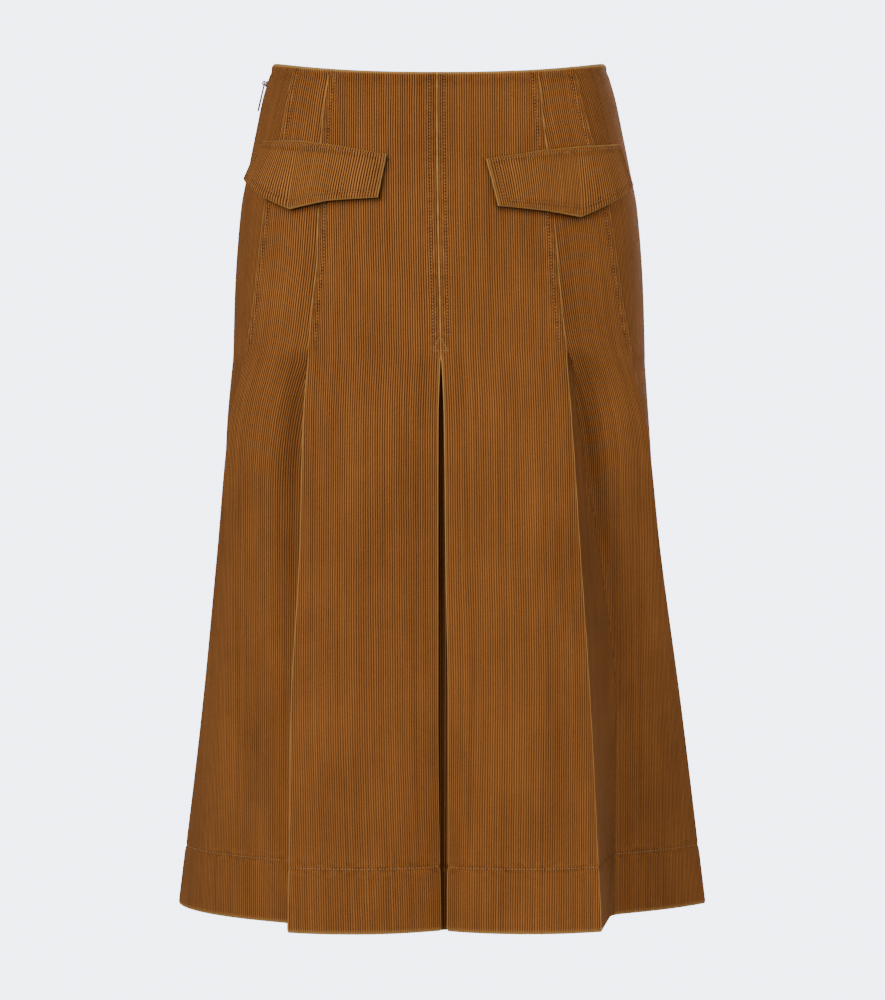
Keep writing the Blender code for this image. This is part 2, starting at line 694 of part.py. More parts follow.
def zip_pull():
    """The pull tab, hanging from the ring and leaning on the hip."""
    outline, window = pull_outline()
    mesh = plate(outline, window, PULL_THICKNESS / 2)
    quarter = Matrix.Rotation(math.pi / 2, 3, "Z")
    tilt = Matrix.Rotation(PULL_TILT, 3, "Y")
    bmesh.ops.rotate(mesh, matrix=tilt @ quarter, verts=mesh.verts)
    pull = finished("zip_pull", mesh, METAL)
    pull.location = hinge_place()
    return pull


def main():
    clear_scene()
    gores()
    underlay("front_underlay", True)
    underlay("back_underlay", False)
    flap("flap_right", RIGHT, RIGHT_FLAP)
    flap("flap_left", LEFT, LEFT_FLAP)
    zip_tape("zip_tape_fore", True)
    zip_tape("zip_tape_aft", False)
    zip_chain()
    zip_slider()
    zip_pull()


main()
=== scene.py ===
"""The looks of a pleated midi skirt in fine corduroy.

Every gore is drawn again from the same sizes as the solids, as a thin wall with finer rows, soft seams,
wales that follow the grain, topstitching, a stitched hem and creases.
"""

import cmath
import math
from collections import namedtuple

import bmesh
import bpy
from mathutils import Matrix, Vector


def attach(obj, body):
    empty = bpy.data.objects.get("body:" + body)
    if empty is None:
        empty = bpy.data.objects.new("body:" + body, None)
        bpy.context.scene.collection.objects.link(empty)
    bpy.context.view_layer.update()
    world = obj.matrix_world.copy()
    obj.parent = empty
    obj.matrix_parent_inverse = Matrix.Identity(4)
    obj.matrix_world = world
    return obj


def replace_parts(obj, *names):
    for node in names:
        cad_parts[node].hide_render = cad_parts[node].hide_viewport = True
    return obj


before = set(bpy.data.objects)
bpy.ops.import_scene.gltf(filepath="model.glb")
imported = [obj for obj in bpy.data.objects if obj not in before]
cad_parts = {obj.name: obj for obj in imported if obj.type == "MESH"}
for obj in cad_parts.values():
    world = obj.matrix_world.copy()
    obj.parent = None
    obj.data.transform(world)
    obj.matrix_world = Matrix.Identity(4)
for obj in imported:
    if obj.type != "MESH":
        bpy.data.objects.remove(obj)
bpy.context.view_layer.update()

# Driving sizes, in metres. RELEASE is the height at which the pleats are let go, STACK_GAP the room
# between layers, and WAIST_DIP how far the front's top edge drops, faded out over DIP_REACH down and by
# the power DIP_POWER towards the sides. ROUNDNESS is the power of the ring's curve, where 2 is an ellipse.
# SIDE_ROUND is where the circle of a side pleat's fold lies from the fold's point.
LENGTH = 0.699
RELEASE = -0.246
WALL = 0.0015
STACK_GAP = 0.0007
FOLD_RADIUS = 0.0020
SIDE_ROUND = complex(-1.3 * FOLD_RADIUS, 0.5 * FOLD_RADIUS)
WAIST_DIP = 0.018
DIP_REACH = 0.100
DIP_POWER = 1.5
ROUNDNESS = 2.3
CENTRE_SHIFT = 0.0015

# The wearer's sides, by the sign of x.
RIGHT, LEFT = -1, 1

# The ring that the sewn gores lie on, with its depth in front and behind.
Ring = namedtuple("Ring", "z half_width front back")
RINGS = (
    Ring(0.000, 0.1376, 0.0970, 0.0970),
    Ring(-0.029, 0.1464, 0.1010, 0.1000),
    Ring(-0.054, 0.1516, 0.1040, 0.1050),
    Ring(-0.087, 0.1582, 0.1078, 0.1115),
    Ring(-0.120, 0.1644, 0.1110, 0.1180),
    Ring(-0.187, 0.1694, 0.1160, 0.1260),
    Ring(-0.246, 0.1710, 0.1180, 0.1300),
)

# Where the seams cross the ring: the centre front's offset, and the others as shares of the half width.
Seams = namedtuple("Seams", "z centre right_front left_front right_side left_side back back_side")
SEAMS = (
    Seams(0.000, -0.0016, 0.640, 0.563, 0.844, 0.780, 0.625, 0.845),
    Seams(-0.012, -0.0016, 0.620, 0.558, 0.837, 0.778, 0.615, 0.838),
    Seams(-0.035, -0.0017, 0.622, 0.554, 0.834, 0.780, 0.600, 0.830),
    Seams(-0.065, -0.0016, 0.614, 0.553, 0.839, 0.802, 0.585, 0.826),
    Seams(-0.130, -0.0009, 0.588, 0.558, 0.864, 0.840, 0.575, 0.855),
    Seams(-0.165, -0.0002, 0.582, 0.565, 0.874, 0.857, 0.580, 0.870),
    Seams(-0.200, 0.0006, 0.598, 0.577, 0.890, 0.880, 0.588, 0.890),
    Seams(-0.246, 0.0015, 0.617, 0.602, 0.929, 0.927, 0.603, 0.918),
)

# The pleats of one side. centre is the fold of the inverted pleat, inner the hidden edge of its return,
# face the control point of the gore's curve, fold the edge of the front gore, valley the seam behind it,
# flank the control point of the side front gore, side its fold, under the hidden seam behind that fold,
# gore the point of the side gore under the fold, and seam the side seam.
Pleat = namedtuple(
    "Pleat",
    "z centre_x centre_y inner_x inner_y face_x face_y fold_x fold_y valley_x valley_y"
    " flank_x flank_y side_x side_y under_x under_y gore_x gore_y seam_x seam_y",
)
RIGHT_PLEATS = (
    Pleat(-0.246, 0.0002, 0.1180, 0.0400, 0.1118, 0.0530, 0.1212, 0.1065, 0.1002, 0.1050, 0.0950,
          0.1430, 0.0860, 0.1600, 0.0540, 0.1411, 0.0740, 0.1550, 0.0530, 0.1731, 0.0000),
    Pleat(-0.300, 0.0018, 0.1224, 0.0400, 0.1133, 0.0539, 0.1298, 0.1106, 0.1069, 0.1059, 0.0942,
          0.1509, 0.0818, 0.1740, 0.0441, 0.1455, 0.0630, 0.1655, 0.0420, 0.1781, -0.0044),
    Pleat(-0.403, 0.0020, 0.1303, 0.0400, 0.1174, 0.0555, 0.1461, 0.1127, 0.1219, 0.1077, 0.0991,
          0.1640, 0.0762, 0.1848, 0.0265, 0.1533, 0.0462, 0.1740, 0.0250, 0.1825, -0.0123),
    Pleat(-0.530, 0.0020, 0.1400, 0.0400, 0.1224, 0.0575, 0.1662, 0.1188, 0.1404, 0.1096, 0.1051,
          0.1812, 0.0692, 0.1984, 0.0048, 0.1631, 0.0255, 0.1852, 0.0048, 0.1921, -0.0220),
    Pleat(-0.699, -0.0001, 0.1530, 0.0400, 0.1290, 0.0600, 0.1930, 0.1198, 0.1650, 0.1120, 0.1130,
          0.2050, 0.0600, 0.2203, -0.0240, 0.1760, -0.0020, 0.2000, -0.0220, 0.2050, -0.0350),
)
LEFT_PLEATS = (
    Pleat(-0.246, 0.0002, 0.1180, 0.0400, 0.1118, 0.0510, 0.1202, 0.1012, 0.1022, 0.1025, 0.0967,
          0.1380, 0.0875, 0.1555, 0.0580, 0.1360, 0.0770, 0.1505, 0.0566, 0.1694, 0.0000),
    Pleat(-0.300, 0.0023, 0.1228, 0.0400, 0.1137, 0.0524, 0.1298, 0.1053, 0.1085, 0.1085, 0.0886,
          0.1446, 0.0798, 0.1688, 0.0476, 0.1411, 0.0662, 0.1595, 0.0455, 0.1734, -0.0044),
    Pleat(-0.403, 0.0034, 0.1314, 0.0400, 0.1184, 0.0549, 0.1453, 0.1116, 0.1218, 0.1262, 0.0798,
          0.1563, 0.0651, 0.1813, 0.0291, 0.1501, 0.0478, 0.1710, 0.0275, 0.1805, -0.0123),
    Pleat(-0.530, 0.0055, 0.1415, 0.0400, 0.1240, 0.0578, 0.1655, 0.1192, 0.1392, 0.1402, 0.0690,
          0.1745, 0.0470, 0.1998, 0.0056, 0.1631, 0.0255, 0.1852, 0.0048, 0.1915, -0.0220),
    Pleat(-0.699, 0.0052, 0.1560, 0.0400, 0.1320, 0.0620, 0.1900, 0.1261, 0.1600, 0.1392, 0.0547,
          0.1900, 0.0230, 0.2222, -0.0240, 0.1760, -0.0050, 0.2000, -0.0220, 0.2050, -0.0350),
)
BACK_PLEATS = (
    Pleat(-0.246, 0.0002, 0.1300, 0.0400, 0.1226, 0.0520, 0.1330, 0.1030, 0.1112, 0.1032, 0.1062,
          0.1395, 0.0950, 0.1570, 0.0625, 0.1375, 0.0815, 0.1515, 0.0602, 0.1710, 0.0000),
    Pleat(-0.300, 0.0022, 0.1341, 0.0400, 0.1247, 0.0531, 0.1410, 0.1070, 0.1182, 0.1068, 0.1026,
          0.1474, 0.0947, 0.1700, 0.0604, 0.1424, 0.0770, 0.1600, 0.0575, 0.1750, 0.0044),
    Pleat(-0.403, 0.0024, 0.1413, 0.0400, 0.1282, 0.0552, 0.1552, 0.1120, 0.1311, 0.1117, 0.1019,
          0.1604, 0.0925, 0.1840, 0.0567, 0.1511, 0.0700, 0.1710, 0.0535, 0.1812, 0.0123),
    Pleat(-0.699, 0.0030, 0.1620, 0.0400, 0.1380, 0.0610, 0.1960, 0.1215, 0.1680, 0.1260, 0.1000,
          0.1980, 0.0860, 0.2190, 0.0460, 0.1760, 0.0560, 0.2000, 0.0450, 0.2050, 0.0350),
)

# A pocket flap: stations from its inner end to its outer one, as turns round the ring in degrees and
# heights, at its top and at its bottom edge, and how far the bottom edge stands off the cloth.
Station = namedtuple("Station", "share top_turn top_z bottom_turn bottom_z stand")
RIGHT_FLAP = (
    Station(0.0, 12.4, -0.0817, 14.1, -0.1201, 0.0015),
    Station(0.3, 27.8, -0.0725, 29.0, -0.1219, 0.0020),
    Station(0.6, 43.2, -0.0672, 42.5, -0.1276, 0.0022),
    Station(1.0, 66.0, -0.0666, 77.1, -0.0971, 0.0007),
)
LEFT_FLAP = (
    Station(0.0, 10.8, -0.0863, 13.5, -0.1269, 0.0015),
    Station(0.3, 27.3, -0.0775, 26.9, -0.1301, 0.0020),
    Station(0.6, 41.9, -0.0729, 39.1, -0.1343, 0.0022),
    Station(1.0, 69.3, -0.0688, 73.0, -0.1034, 0.0007),
)
FLAPS = {RIGHT: RIGHT_FLAP, LEFT: LEFT_FLAP}


def slopes_of(heights, values):
    """The slope at each row that keeps a curve through the rows from overshooting any of them."""
    chords = [
        (values[k + 1] - values[k]) / (heights[k + 1] - heights[k]) for k in range(len(values) - 1)
    ]
    inner = [
        2.0 * before * after / (before + after) if before * after > 0.0 else 0.0
        for before, after in zip(chords, chords[1:])
    ]
    return [chords[0]] + inner + [chords[-1]]


def row_at(table, z):
    """The table's row at any height, each column read from a smooth curve through its rows."""
    z = min(max(z, table[-1].z), table[0].z)
    heights = [row.z for row in table]
    k = max(index for index in range(len(table) - 1) if heights[index] >= z)
    span = heights[k + 1] - heights[k]
    t = (z - heights[k]) / span
    found = []
    for column in range(len(table[0])):
        values = [row[column] for row in table]
        slopes = slopes_of(heights, values)
        found.append(
            values[k] * (1 + 2 * t) * (1 - t) ** 2
            + slopes[k] * span * t * (1 - t) ** 2
            + values[k + 1] * t * t * (3 - 2 * t)
            - slopes[k + 1] * span * t * t * (1 - t)
        )
    return type(table[0])(*found)


def turn_of(share):
    """The turn round the ring, from the middle towards the side, of a share of the half width."""
    return math.copysign(math.asin(min(1.0, abs(share) ** (ROUNDNESS / 2))), share)


def ring_point(z, turn, front):
    """The ring's plan point at a turn. Past a quarter turn it goes on round the other half."""
    ring = row_at(RINGS, z)
    depth = ring.front if front else ring.back
    if math.cos(turn) < 0.0:
        depth = ring.back if front else ring.front
    across = math.copysign(abs(math.sin(turn)) ** (2 / ROUNDNESS), math.sin(turn))
    out = math.copysign(abs(math.cos(turn)) ** (2 / ROUNDNESS), math.cos(turn))
    return complex(ring.half_width * across, depth * out)


def waist_dip(z, turn, front):
    """How far the front's waist edge drops below its sides, faded out down the hip."""
    if not front or z < -DIP_REACH:
        return 0.0
    return WAIST_DIP * abs(math.cos(turn)) ** DIP_POWER * (1.0 + z / DIP_REACH)


def touch(point, centre, way):
    """Where the cloth from a point meets a fold's circle. way is 1 before the fold and -1 after it."""
    away = centre - point
    angle = math.asin(FOLD_RADIUS / abs(away))
    reach = math.sqrt(abs(away) ** 2 - FOLD_RADIUS**2)
    return point + cmath.rect(reach, cmath.phase(away) + way * angle)


def pleat_of(side, front, z):
    """Every named point of one side's pleats at a height, as plan points."""
    own = RIGHT_PLEATS if side == RIGHT else LEFT_PLEATS
    row = row_at(own if front else BACK_PLEATS, z)
    fall = (RELEASE - z) / (LENGTH + RELEASE)
    shift = side * CENTRE_SHIFT * (1.0 if front else fall)
    points = {
        name: complex(getattr(row, name + "_x") + shift, getattr(row, name + "_y"))
        for name in ("centre", "inner", "face", "fold", "valley", "flank", "side", "under", "gore")
    }
    shared = row_at(own, z)
    seam = complex(shared.seam_x + side * CENTRE_SHIFT, shared.seam_y)
    points["seam"] = seam if front else seam.conjugate()
    points["centre_round"] = points["centre"] + complex(FOLD_RADIUS, -FOLD_RADIUS)
    points["fold_round"] = points["fold"] - complex(FOLD_RADIUS, FOLD_RADIUS)
    points["side_round"] = points["side"] + SIDE_ROUND
    return points


def seam_turns(side, front, z):
    """The turns of the centre, the princess seam and the side pleat's seam on the ring."""
    seams = row_at(SEAMS, z)
    half_width = row_at(RINGS, z).half_width
    if not front:
        return 0.0, turn_of(seams.back), turn_of(seams.back_side)
    centre = turn_of(side * seams.centre / half_width)
    if side == RIGHT:
        return centre, turn_of(seams.right_front), turn_of(seams.right_side)
    return centre, turn_of(seams.left_front), turn_of(seams.left_side)


def smooth(t):
    t = min(max(t, 0.0), 1.0)
    return t * t * (3.0 - 2.0 * t)


def hump(distance, reach):
    """A soft bump that is 1 at no distance and falls off round it."""
    return math.exp(-((distance / reach) ** 2))


# How the new walls are drawn: the columns of a gore's return, fold and face, with finer ones beside its
# seams, as shares of its face.
EDGE_SHARES = (0.0, 0.0035, 0.008, 0.015, 0.024, 0.034, 0.045, 0.056, 0.067, 0.080, 0.100, 0.130)
RETURN_COLUMNS = 8
FOLD_COLUMNS = 8
VALLEY_COLUMNS = 4
UNDERLAY_COLUMNS = 24
COLUMNS = {
    "main": (RETURN_COLUMNS + FOLD_COLUMNS, 42, FOLD_COLUMNS + RETURN_COLUMNS),
    "flank": (0, 22, FOLD_COLUMNS + RETURN_COLUMNS),
    "side": (RETURN_COLUMNS, 14, 0),
}

# A pleat starts to open at OPENS and is open OPENING below it. Where it starts, its fold has LEAST_FULLNESS
# of its depth and LEAST_WALL of its wall, so that nothing shows past the seam. The seam's look fades out
# over SEAM_FADE above SEAM_END.
OPENS = -0.239
OPENING = 0.013
LEAST_FULLNESS = 0.06
LEAST_WALL = 0.02
SEAM_END = OPENS - 0.012
SEAM_FADE = 0.017

# A pleat's valley is rounded over VALLEY_REACH, but over VALLEY_MOST of each side at most, and that takes
# VALLEY_SHARE of the gore behind the fold. That gore's grain hangs upright at PLUMB from the middle, below
# PLUMB_TOP and PLUMB_FADE.
VALLEY_REACH = 0.013
VALLEY_MOST = 0.60
VALLEY_SHARE = 0.30
PLUMB = 0.150
PLUMB_TOP = RELEASE + 0.02
PLUMB_FADE = 0.12

HEM_LINE = 0.050 - LENGTH
STITCH_INSET = 0.0062
STITCH_PITCH = 0.0027
TACK_PITCH = 0.0026
HEM_PITCH = 0.0030
STITCH_LIFT = 0.00002
STITCH_TOP = -0.001


def steps_of(first, last, count):
    return [first + (last - first) * step / count for step in range(count + 1)]


# The heights of the rows: close at the top edge, under the flaps, where the pleats open and at the hem.
Stretch = namedtuple("Stretch", "top bottom steps")
STRETCHES = (
    Stretch(-0.024, -0.080, 9),
    Stretch(-0.082, -0.142, 30),
    Stretch(-0.148, -0.222, 12),
    Stretch(-0.227, OPENS, 3),
    Stretch(-0.241, RELEASE, 3),
    Stretch(-0.250, -0.282, 8),
    Stretch(-0.290, -0.578, 48),
    Stretch(-0.5805, HEM_LINE + 0.008, 24),
)
HEIGHTS = [0.0, -0.0006, -0.0014, -0.0024, -0.0034, -0.0046, -0.006, -0.0078, -0.010, -0.0135, -0.018]
for stretch in STRETCHES:
    HEIGHTS += steps_of(*stretch)
HEIGHTS += [HEM_LINE + step for step in (0.004, 0.0018, 0.0, -0.0018, -0.004, -0.008)]
HEIGHTS += steps_of(HEM_LINE - 0.014, -0.692, 5)
HEIGHTS += [-0.695, -0.697, -0.6982, -LENGTH]

# Creases given for each gore. Each is a soft trough, or a ridge where its depth is negative: its middle
# as a distance across the gore from its grain line and a height, its half length, its half width, its depth
# and its lean from the vertical in degrees.
Crease = namedtuple("Crease", "across z reach width depth lean")
CREASES = {
    "front_left": (
        Crease(0.044, -0.604, 0.011, 0.003, 0.0010, 62),
        Crease(0.014, -0.605, 0.005, 0.003, 0.0008, 80),
        Crease(0.05, -0.33, 0.06, 0.016, 0.0023, 24),
        Crease(0.03, -0.44, 0.11, 0.018, 0.0027, 18),
        Crease(0.072, -0.5, 0.15, 0.02, -0.0023, -8),
        Crease(0.105, -0.6, 0.09, 0.018, 0.0021, -12),
        Crease(0.02, -0.64, 0.06, 0.016, -0.0019, 8),
        Crease(0.05, -0.19, 0.036, 0.015, 0.0013, -58),
    ),
    "front_right": (
        Crease(0.004, -0.606, 0.008, 0.003, 0.0009, -50),
        Crease(0.125, -0.574, 0.01, 0.0032, 0.0007, 78),
        Crease(0.036, -0.37, 0.08, 0.017, 0.0025, -26),
        Crease(0.07, -0.47, 0.12, 0.019, -0.0023, -10),
        Crease(0.032, -0.54, 0.1, 0.017, 0.0023, 14),
        Crease(0.1, -0.62, 0.08, 0.018, 0.0021, 12),
        Crease(0.055, -0.18, 0.04, 0.015, 0.0013, 60),
    ),
    "back_left": (
        Crease(0.046, -0.38, 0.11, 0.019, 0.0025, -16),
        Crease(0.09, -0.54, 0.12, 0.02, -0.0025, 9),
        Crease(0.034, -0.6, 0.07, 0.017, 0.0021, 14),
        Crease(0.048, -0.604, 0.01, 0.003, 0.0009, 70),
    ),
    "back_right": (
        Crease(0.06, -0.35, 0.09, 0.018, 0.0023, 20),
        Crease(0.036, -0.5, 0.12, 0.019, -0.0025, -9),
        Crease(0.1, -0.6, 0.08, 0.018, 0.0023, -12),
        Crease(0.024, -0.598, 0.009, 0.003, 0.0008, -66),
    ),
    "side_front_left": (
        Crease(0.01, -0.48, 0.12, 0.015, 0.0023, 5),
        Crease(-0.018, -0.4, 0.07, 0.011, -0.0015, 10),
    ),
    "side_front_right": (
        Crease(0.01, -0.5, 0.11, 0.015, 0.0021, -6),
        Crease(-0.016, -0.38, 0.07, 0.011, -0.0015, -8),
    ),
    "side_back_left": (Crease(0.008, -0.46, 0.11, 0.015, 0.0023, -6),),
    "side_back_right": (Crease(0.008, -0.52, 0.11, 0.015, 0.0023, 7),),
    "side_fore_left": (Crease(-0.018, -0.52, 0.1, 0.014, 0.0019, 6),),
    "side_fore_right": (Crease(-0.018, -0.5, 0.1, 0.014, 0.0019, -6),),
    "side_aft_left": (Crease(-0.02, -0.47, 0.1, 0.014, 0.0019, -7),),
    "side_aft_right": (Crease(-0.02, -0.54, 0.1, 0.014, 0.0019, 6),),
}


def crease_depth(piece, across, z):
    """How far the listed creases press the cloth in at a point of a gore."""
    depth = 0.0
    for crease in CREASES[piece]:
        lean = math.radians(crease.lean)
        aside, up = across - crease.across, z - crease.z
        along = up * math.cos(lean) + aside * math.sin(lean)
        off = aside * math.cos(lean) - up * math.sin(lean)
        depth += crease.depth * hump(along, crease.reach) * hump(off, crease.width)
    return depth


def face_shares(count):
    """Shares of a face from 0 to 1, close together beside both of its edges."""
    inner = steps_of(EDGE_SHARES[-1], 1.0 - EDGE_SHARES[-1], count)
    return list(EDGE_SHARES[:-1]) + inner + [1.0 - share for share in reversed(EDGE_SHARES[:-1])]


def fold_points(before, centre, after):
    start = cmath.phase(touch(before, centre, 1) - centre)
    end = cmath.phase(touch(after, centre, -1) - centre)
    while end > start:
        end -= 2.0 * math.pi
    return [centre + cmath.rect(FOLD_RADIUS, turn) for turn in steps_of(start, end, FOLD_COLUMNS)]


def curve_points(start, control, end, shares):
    return [start * (1 - t) ** 2 + control * 2 * t * (1 - t) + end * t * t for t in shares]


def valley_round(p):
    """The soft bottom of a pleat's valley: where it starts on the return, its corner, its end and middle."""
    valley = p["valley"]
    start, end = [
        valley + away / abs(away) * min(VALLEY_REACH, VALLEY_MOST * abs(away))
        for away in (p["fold"] - valley, p["flank"] - valley)
    ]
    return start, valley, end, (start + 2.0 * valley + end) / 4.0


def lower_parts(side, front, z, which, shares):
    """A gore's plan below RELEASE as three runs: before its face, the face, and after it."""
    p = pleat_of(side, front, z)
    start, corner, end, middle = valley_round(p)
    if which == "main":
        first = fold_points(p["inner"], p["centre_round"], p["face"])
        second = fold_points(p["face"], p["fold_round"], p["valley"])
        before = steps_of(p["inner"], first[0], RETURN_COLUMNS)[:-1] + first[:-1]
        face = curve_points(first[-1], p["face"], second[0], shares)
        bottom = curve_points(start, (start + corner) / 2, middle, steps_of(0.0, 1.0, VALLEY_COLUMNS))
        after = second[1:] + steps_of(second[-1], start, RETURN_COLUMNS - VALLEY_COLUMNS)[1:] + bottom[1:]
        return before, face, after
    if which == "flank":
        edge = fold_points(p["flank"], p["side_round"], p["under"])
        bend = curve_points(p["valley"], p["flank"], edge[0], shares)
        face = []
        for share, point in zip(shares, bend):
            eased = curve_points(middle, (corner + end) / 2, end, [min(share / VALLEY_SHARE, 1.0)])[0]
            kept = smooth(share / VALLEY_SHARE)
            face.append(eased * (1.0 - kept) + point * kept)
        return [], face, edge[1:] + steps_of(edge[-1], p["under"], RETURN_COLUMNS)[1:]
    start = p["under"] * (1.0 - STACK_GAP / abs(p["under"]))
    control = complex(p["seam"].real, (p["gore"].imag + p["seam"].imag) / 2)
    before = steps_of(start, p["gore"], RETURN_COLUMNS)[:-1]
    return before, curve_points(p["gore"], control, p["seam"], shares), []


def gathered(run, start, end, opened):
    """A fold's run brought to its end on the seam, and drawn in flat where the pleat begins."""
    fullness = max(LEAST_FULLNESS, opened)
    count, found = len(run), []
    for k, point in enumerate(run):
        share = max(0.0, (k + 1 - FOLD_COLUMNS) / (count - FOLD_COLUMNS))
        moved = point + (end - run[-1]) * share
        plain = start + (end - start) * (k + 1) / count
        found.append(plain + (moved - plain) * fullness)
    return found


def plan_row(side, front, z, which, shares):
    """A gore's row at a nominal height: three runs of (plan point, height). The pleats open softly."""
    first, last = {"main": (0, 1), "flank": (1, 2), "side": (2, 3)}[which]
    turns = seam_turns(side, front, z) + (math.pi / 2,)
    ring = []
    for share in shares:
        turn = turns[first] + (turns[last] - turns[first]) * share
        height = z - waist_dip(z, turn, front)
        ring.append((ring_point(height, turn, front), height))
    if z > OPENS:
        return [], ring, [], 0.0
    opened = smooth((OPENS - z) / OPENING)
    before, face, after = lower_parts(side, front, min(z, RELEASE), which, shares)
    mixed = [(a[0] + (b - a[0]) * opened, z) for a, b in zip(ring, face)]
    start_shift = (ring[0][0] - face[0]) * (1.0 - opened)
    end_shift = (ring[-1][0] - face[-1]) * (1.0 - opened)
    if after:
        end_at = after[-1] + (ring[-1][0] - after[-1]) * (1.0 - opened)
        moved = gathered([point + end_shift for point in after], mixed[-1][0], end_at, opened)
        after = [(point, z) for point in moved]
    drift = 0.0
    if which == "main":
        drift = opened * (face[0] - pleat_of(side, front, min(z, RELEASE))["centre"]).real
    return [(point + start_shift, z) for point in before], mixed, after, drift


# Profiles are sums of bumps, each with the distance it is at, its reach and its size.
Bump = namedtuple("Bump", "at reach size")


def profile(bumps, distance):
    """A profile's height at a distance."""
    return sum(bump.size * hump(distance - bump.at, bump.reach) for bump in bumps)


# Down a gore: the turned top edge and the stitched hem, as heights off the plain cloth, how puckered the pile
# is
# there, and its tone: paler on the top edge and the hem's fold from wear of the pile and a painted highlight,
# with painted shade in the band below the top edge and along the hem's stitching.
EDGE_RELIEF = (
    Bump(-0.0024, 0.0018, 0.00050),
    Bump(-0.0068, 0.0022, -0.00045),
    Bump(0.0, 0.0006, -0.0006),
    Bump(HEM_LINE, 0.0014, -0.0005),
    Bump(-LENGTH, 0.0012, -0.0009),
)
HEM_RISE, HEM_RISE_REACH = 0.0004, 0.006
EDGE_TONE = (
    Bump(-0.0008, 0.0014, 0.38),
    Bump(-0.0090, 0.0040, -0.10),
    Bump(HEM_LINE, 0.0015, -0.10),
    Bump(-LENGTH, 0.0018, 0.30),
)
EDGE_PUCKER = (Bump(HEM_LINE, 0.0050, 1.0), Bump(-0.007, 0.005, 0.6))
PLAIN_PUCKER = 0.12

# Beside a seam: the cloth is tucked in at it and full up to its stitching. Its tone gets a painted shadow
# line beside the seam, painted shade in the stitching's groove, and a paler edge at the seam from wear of the
# pile and a painted highlight.
SEAM_RELIEF = (Bump(0.0, 0.0008, -0.0003),)
STITCH_RELIEF = (Bump(0.0034, 0.0018, 0.00045), Bump(STITCH_INSET, 0.0009, -0.00035))
SEAM_TONE = (Bump(0.0014, 0.0007, -0.12),)
STITCH_TONE = (Bump(STITCH_INSET, 0.0009, -0.13),)
STITCH_PUCKER = (Bump(0.0045, 0.0045, 0.9),)
WORN_AND_LIT_REACH = 0.00055
RIPPLE = (Bump(0.008, 0.004, 0.00035),)

# In a pleat: the shade in its valley, down to VALLEY_TONE_END of its fall, and on the columns behind the
# fold, at its top and all down. Above the opening those columns are tucked in.
VALLEY_TONE = (Bump(0.011, 0.012, -0.21),)
VALLEY_TONE_END = 0.85
PLEAT_TOP_TONE = (Bump(OPENS - 0.008, 0.010, -0.30),)
RETURN_TONE = -0.15
TUCKED = 0.0010

# A gore's first and last seam: whether it is topstitched and how light its edge is, from wear of the pile and
# a painted highlight. The wearer's left gore's centre edge is less light. FOLD_LIGHT is how light the columns
# round a fold are, from wear of the pile and a painted highlight, and FOLD_FADE how much of it is lost at the
# hem.
Seam = namedtuple("Seam", "stitched light")
GORE_SEAMS = {
    "main": (Seam(True, 0.62), Seam(True, 0.66)),
    "flank": (Seam(False, 0.12), Seam(True, 0.56)),
    "side": (Seam(False, 0.10), Seam(False, 0.14)),
}
LEFT_CENTRE = Seam(True, 0.40)
FOLD_LIGHT = {1: 0.08, 2: 0.42, 3: 0.30, 4: 0.05}
FOLD_FADE = 0.25

# How far the zip's end strains the side seam out, over what width, and where that fades.
STRAIN, STRAIN_WIDTH = 0.0013, 0.006
STRAIN_END, STRAIN_FADE = -0.034, 0.014

# Creases start this far inside a gore's seams.
CREASE_INSET = 0.014

# How a seam's paler edge, from wear of the pile and a painted highlight, and the ripples along its stitching
# go up
# and down: the rate of a wave down the seam, how far a slower wave bends it, and the rate of that one. Last,
# the middle of the paler edge's lightness and how far it swings about it.
WORN_AND_LIT_WAVES, RIPPLE_WAVES = (240.0, 2.0, 91.0), (2100.0, 3.0, 610.0)
WORN_AND_LIT_MIDDLE, WORN_AND_LIT_SWING = 0.78, 0.22


def edge_relief(z):
    """The turned top edge and the stitched hem, as heights off the plain cloth."""
    return profile(EDGE_RELIEF, z) + HEM_RISE * smooth((HEM_LINE - z) / HEM_RISE_REACH)


def seam_look(seam, distance, worn_and_lit, ripple):
    """What a seam does to the cloth at a distance from it: to its relief, its tone and its puckers."""
    relief = profile(SEAM_RELIEF, distance)
    tone = profile(SEAM_TONE, distance) + worn_and_lit * seam.light * hump(distance, WORN_AND_LIT_REACH)
    if not seam.stitched:
        return relief, tone, 0.0
    relief += profile(STITCH_RELIEF, distance) + ripple * profile(RIPPLE, distance)
    return relief, tone + profile(STITCH_TONE, distance), profile(STITCH_PUCKER, distance)


def bent_wave(z, waves):
    rate, bend, slow_rate = waves
    return math.sin(z * rate + bend * math.sin(z * slow_rate))


def grid_cells(verts, columns, lines):
    """The points of a new grid, each with its column and its row."""
    return [
        (vert, round((vert.co.x + 1.0) / 2.0 * (columns - 1)), round((1.0 - vert.co.y) / 2.0 * (lines - 1)))
        for vert in verts
    ]


def cloth_layers(mesh):
    """The layers that the corduroy reads: a tone of wear of the pile with painted light and shade, its
    puckers and each point's flat place.
    """
    floats = mesh.verts.layers.float
    return floats.new("tone"), floats.new("pucker"), mesh.loops.layers.uv.new("cloth")


def lay_flat(mesh, layer, places):
    """Gives each corner its point's place on the flat cloth."""
    for face in mesh.faces:
        for loop in face.loops:
            loop[layer].uv = places[loop.vert]


def gone_along(points, size=abs):
    """The distance along a run of points to each of them."""
    gone = [0.0]
    for a, b in zip(points, points[1:]):
        gone.append(gone[-1] + size(b - a))
    return gone


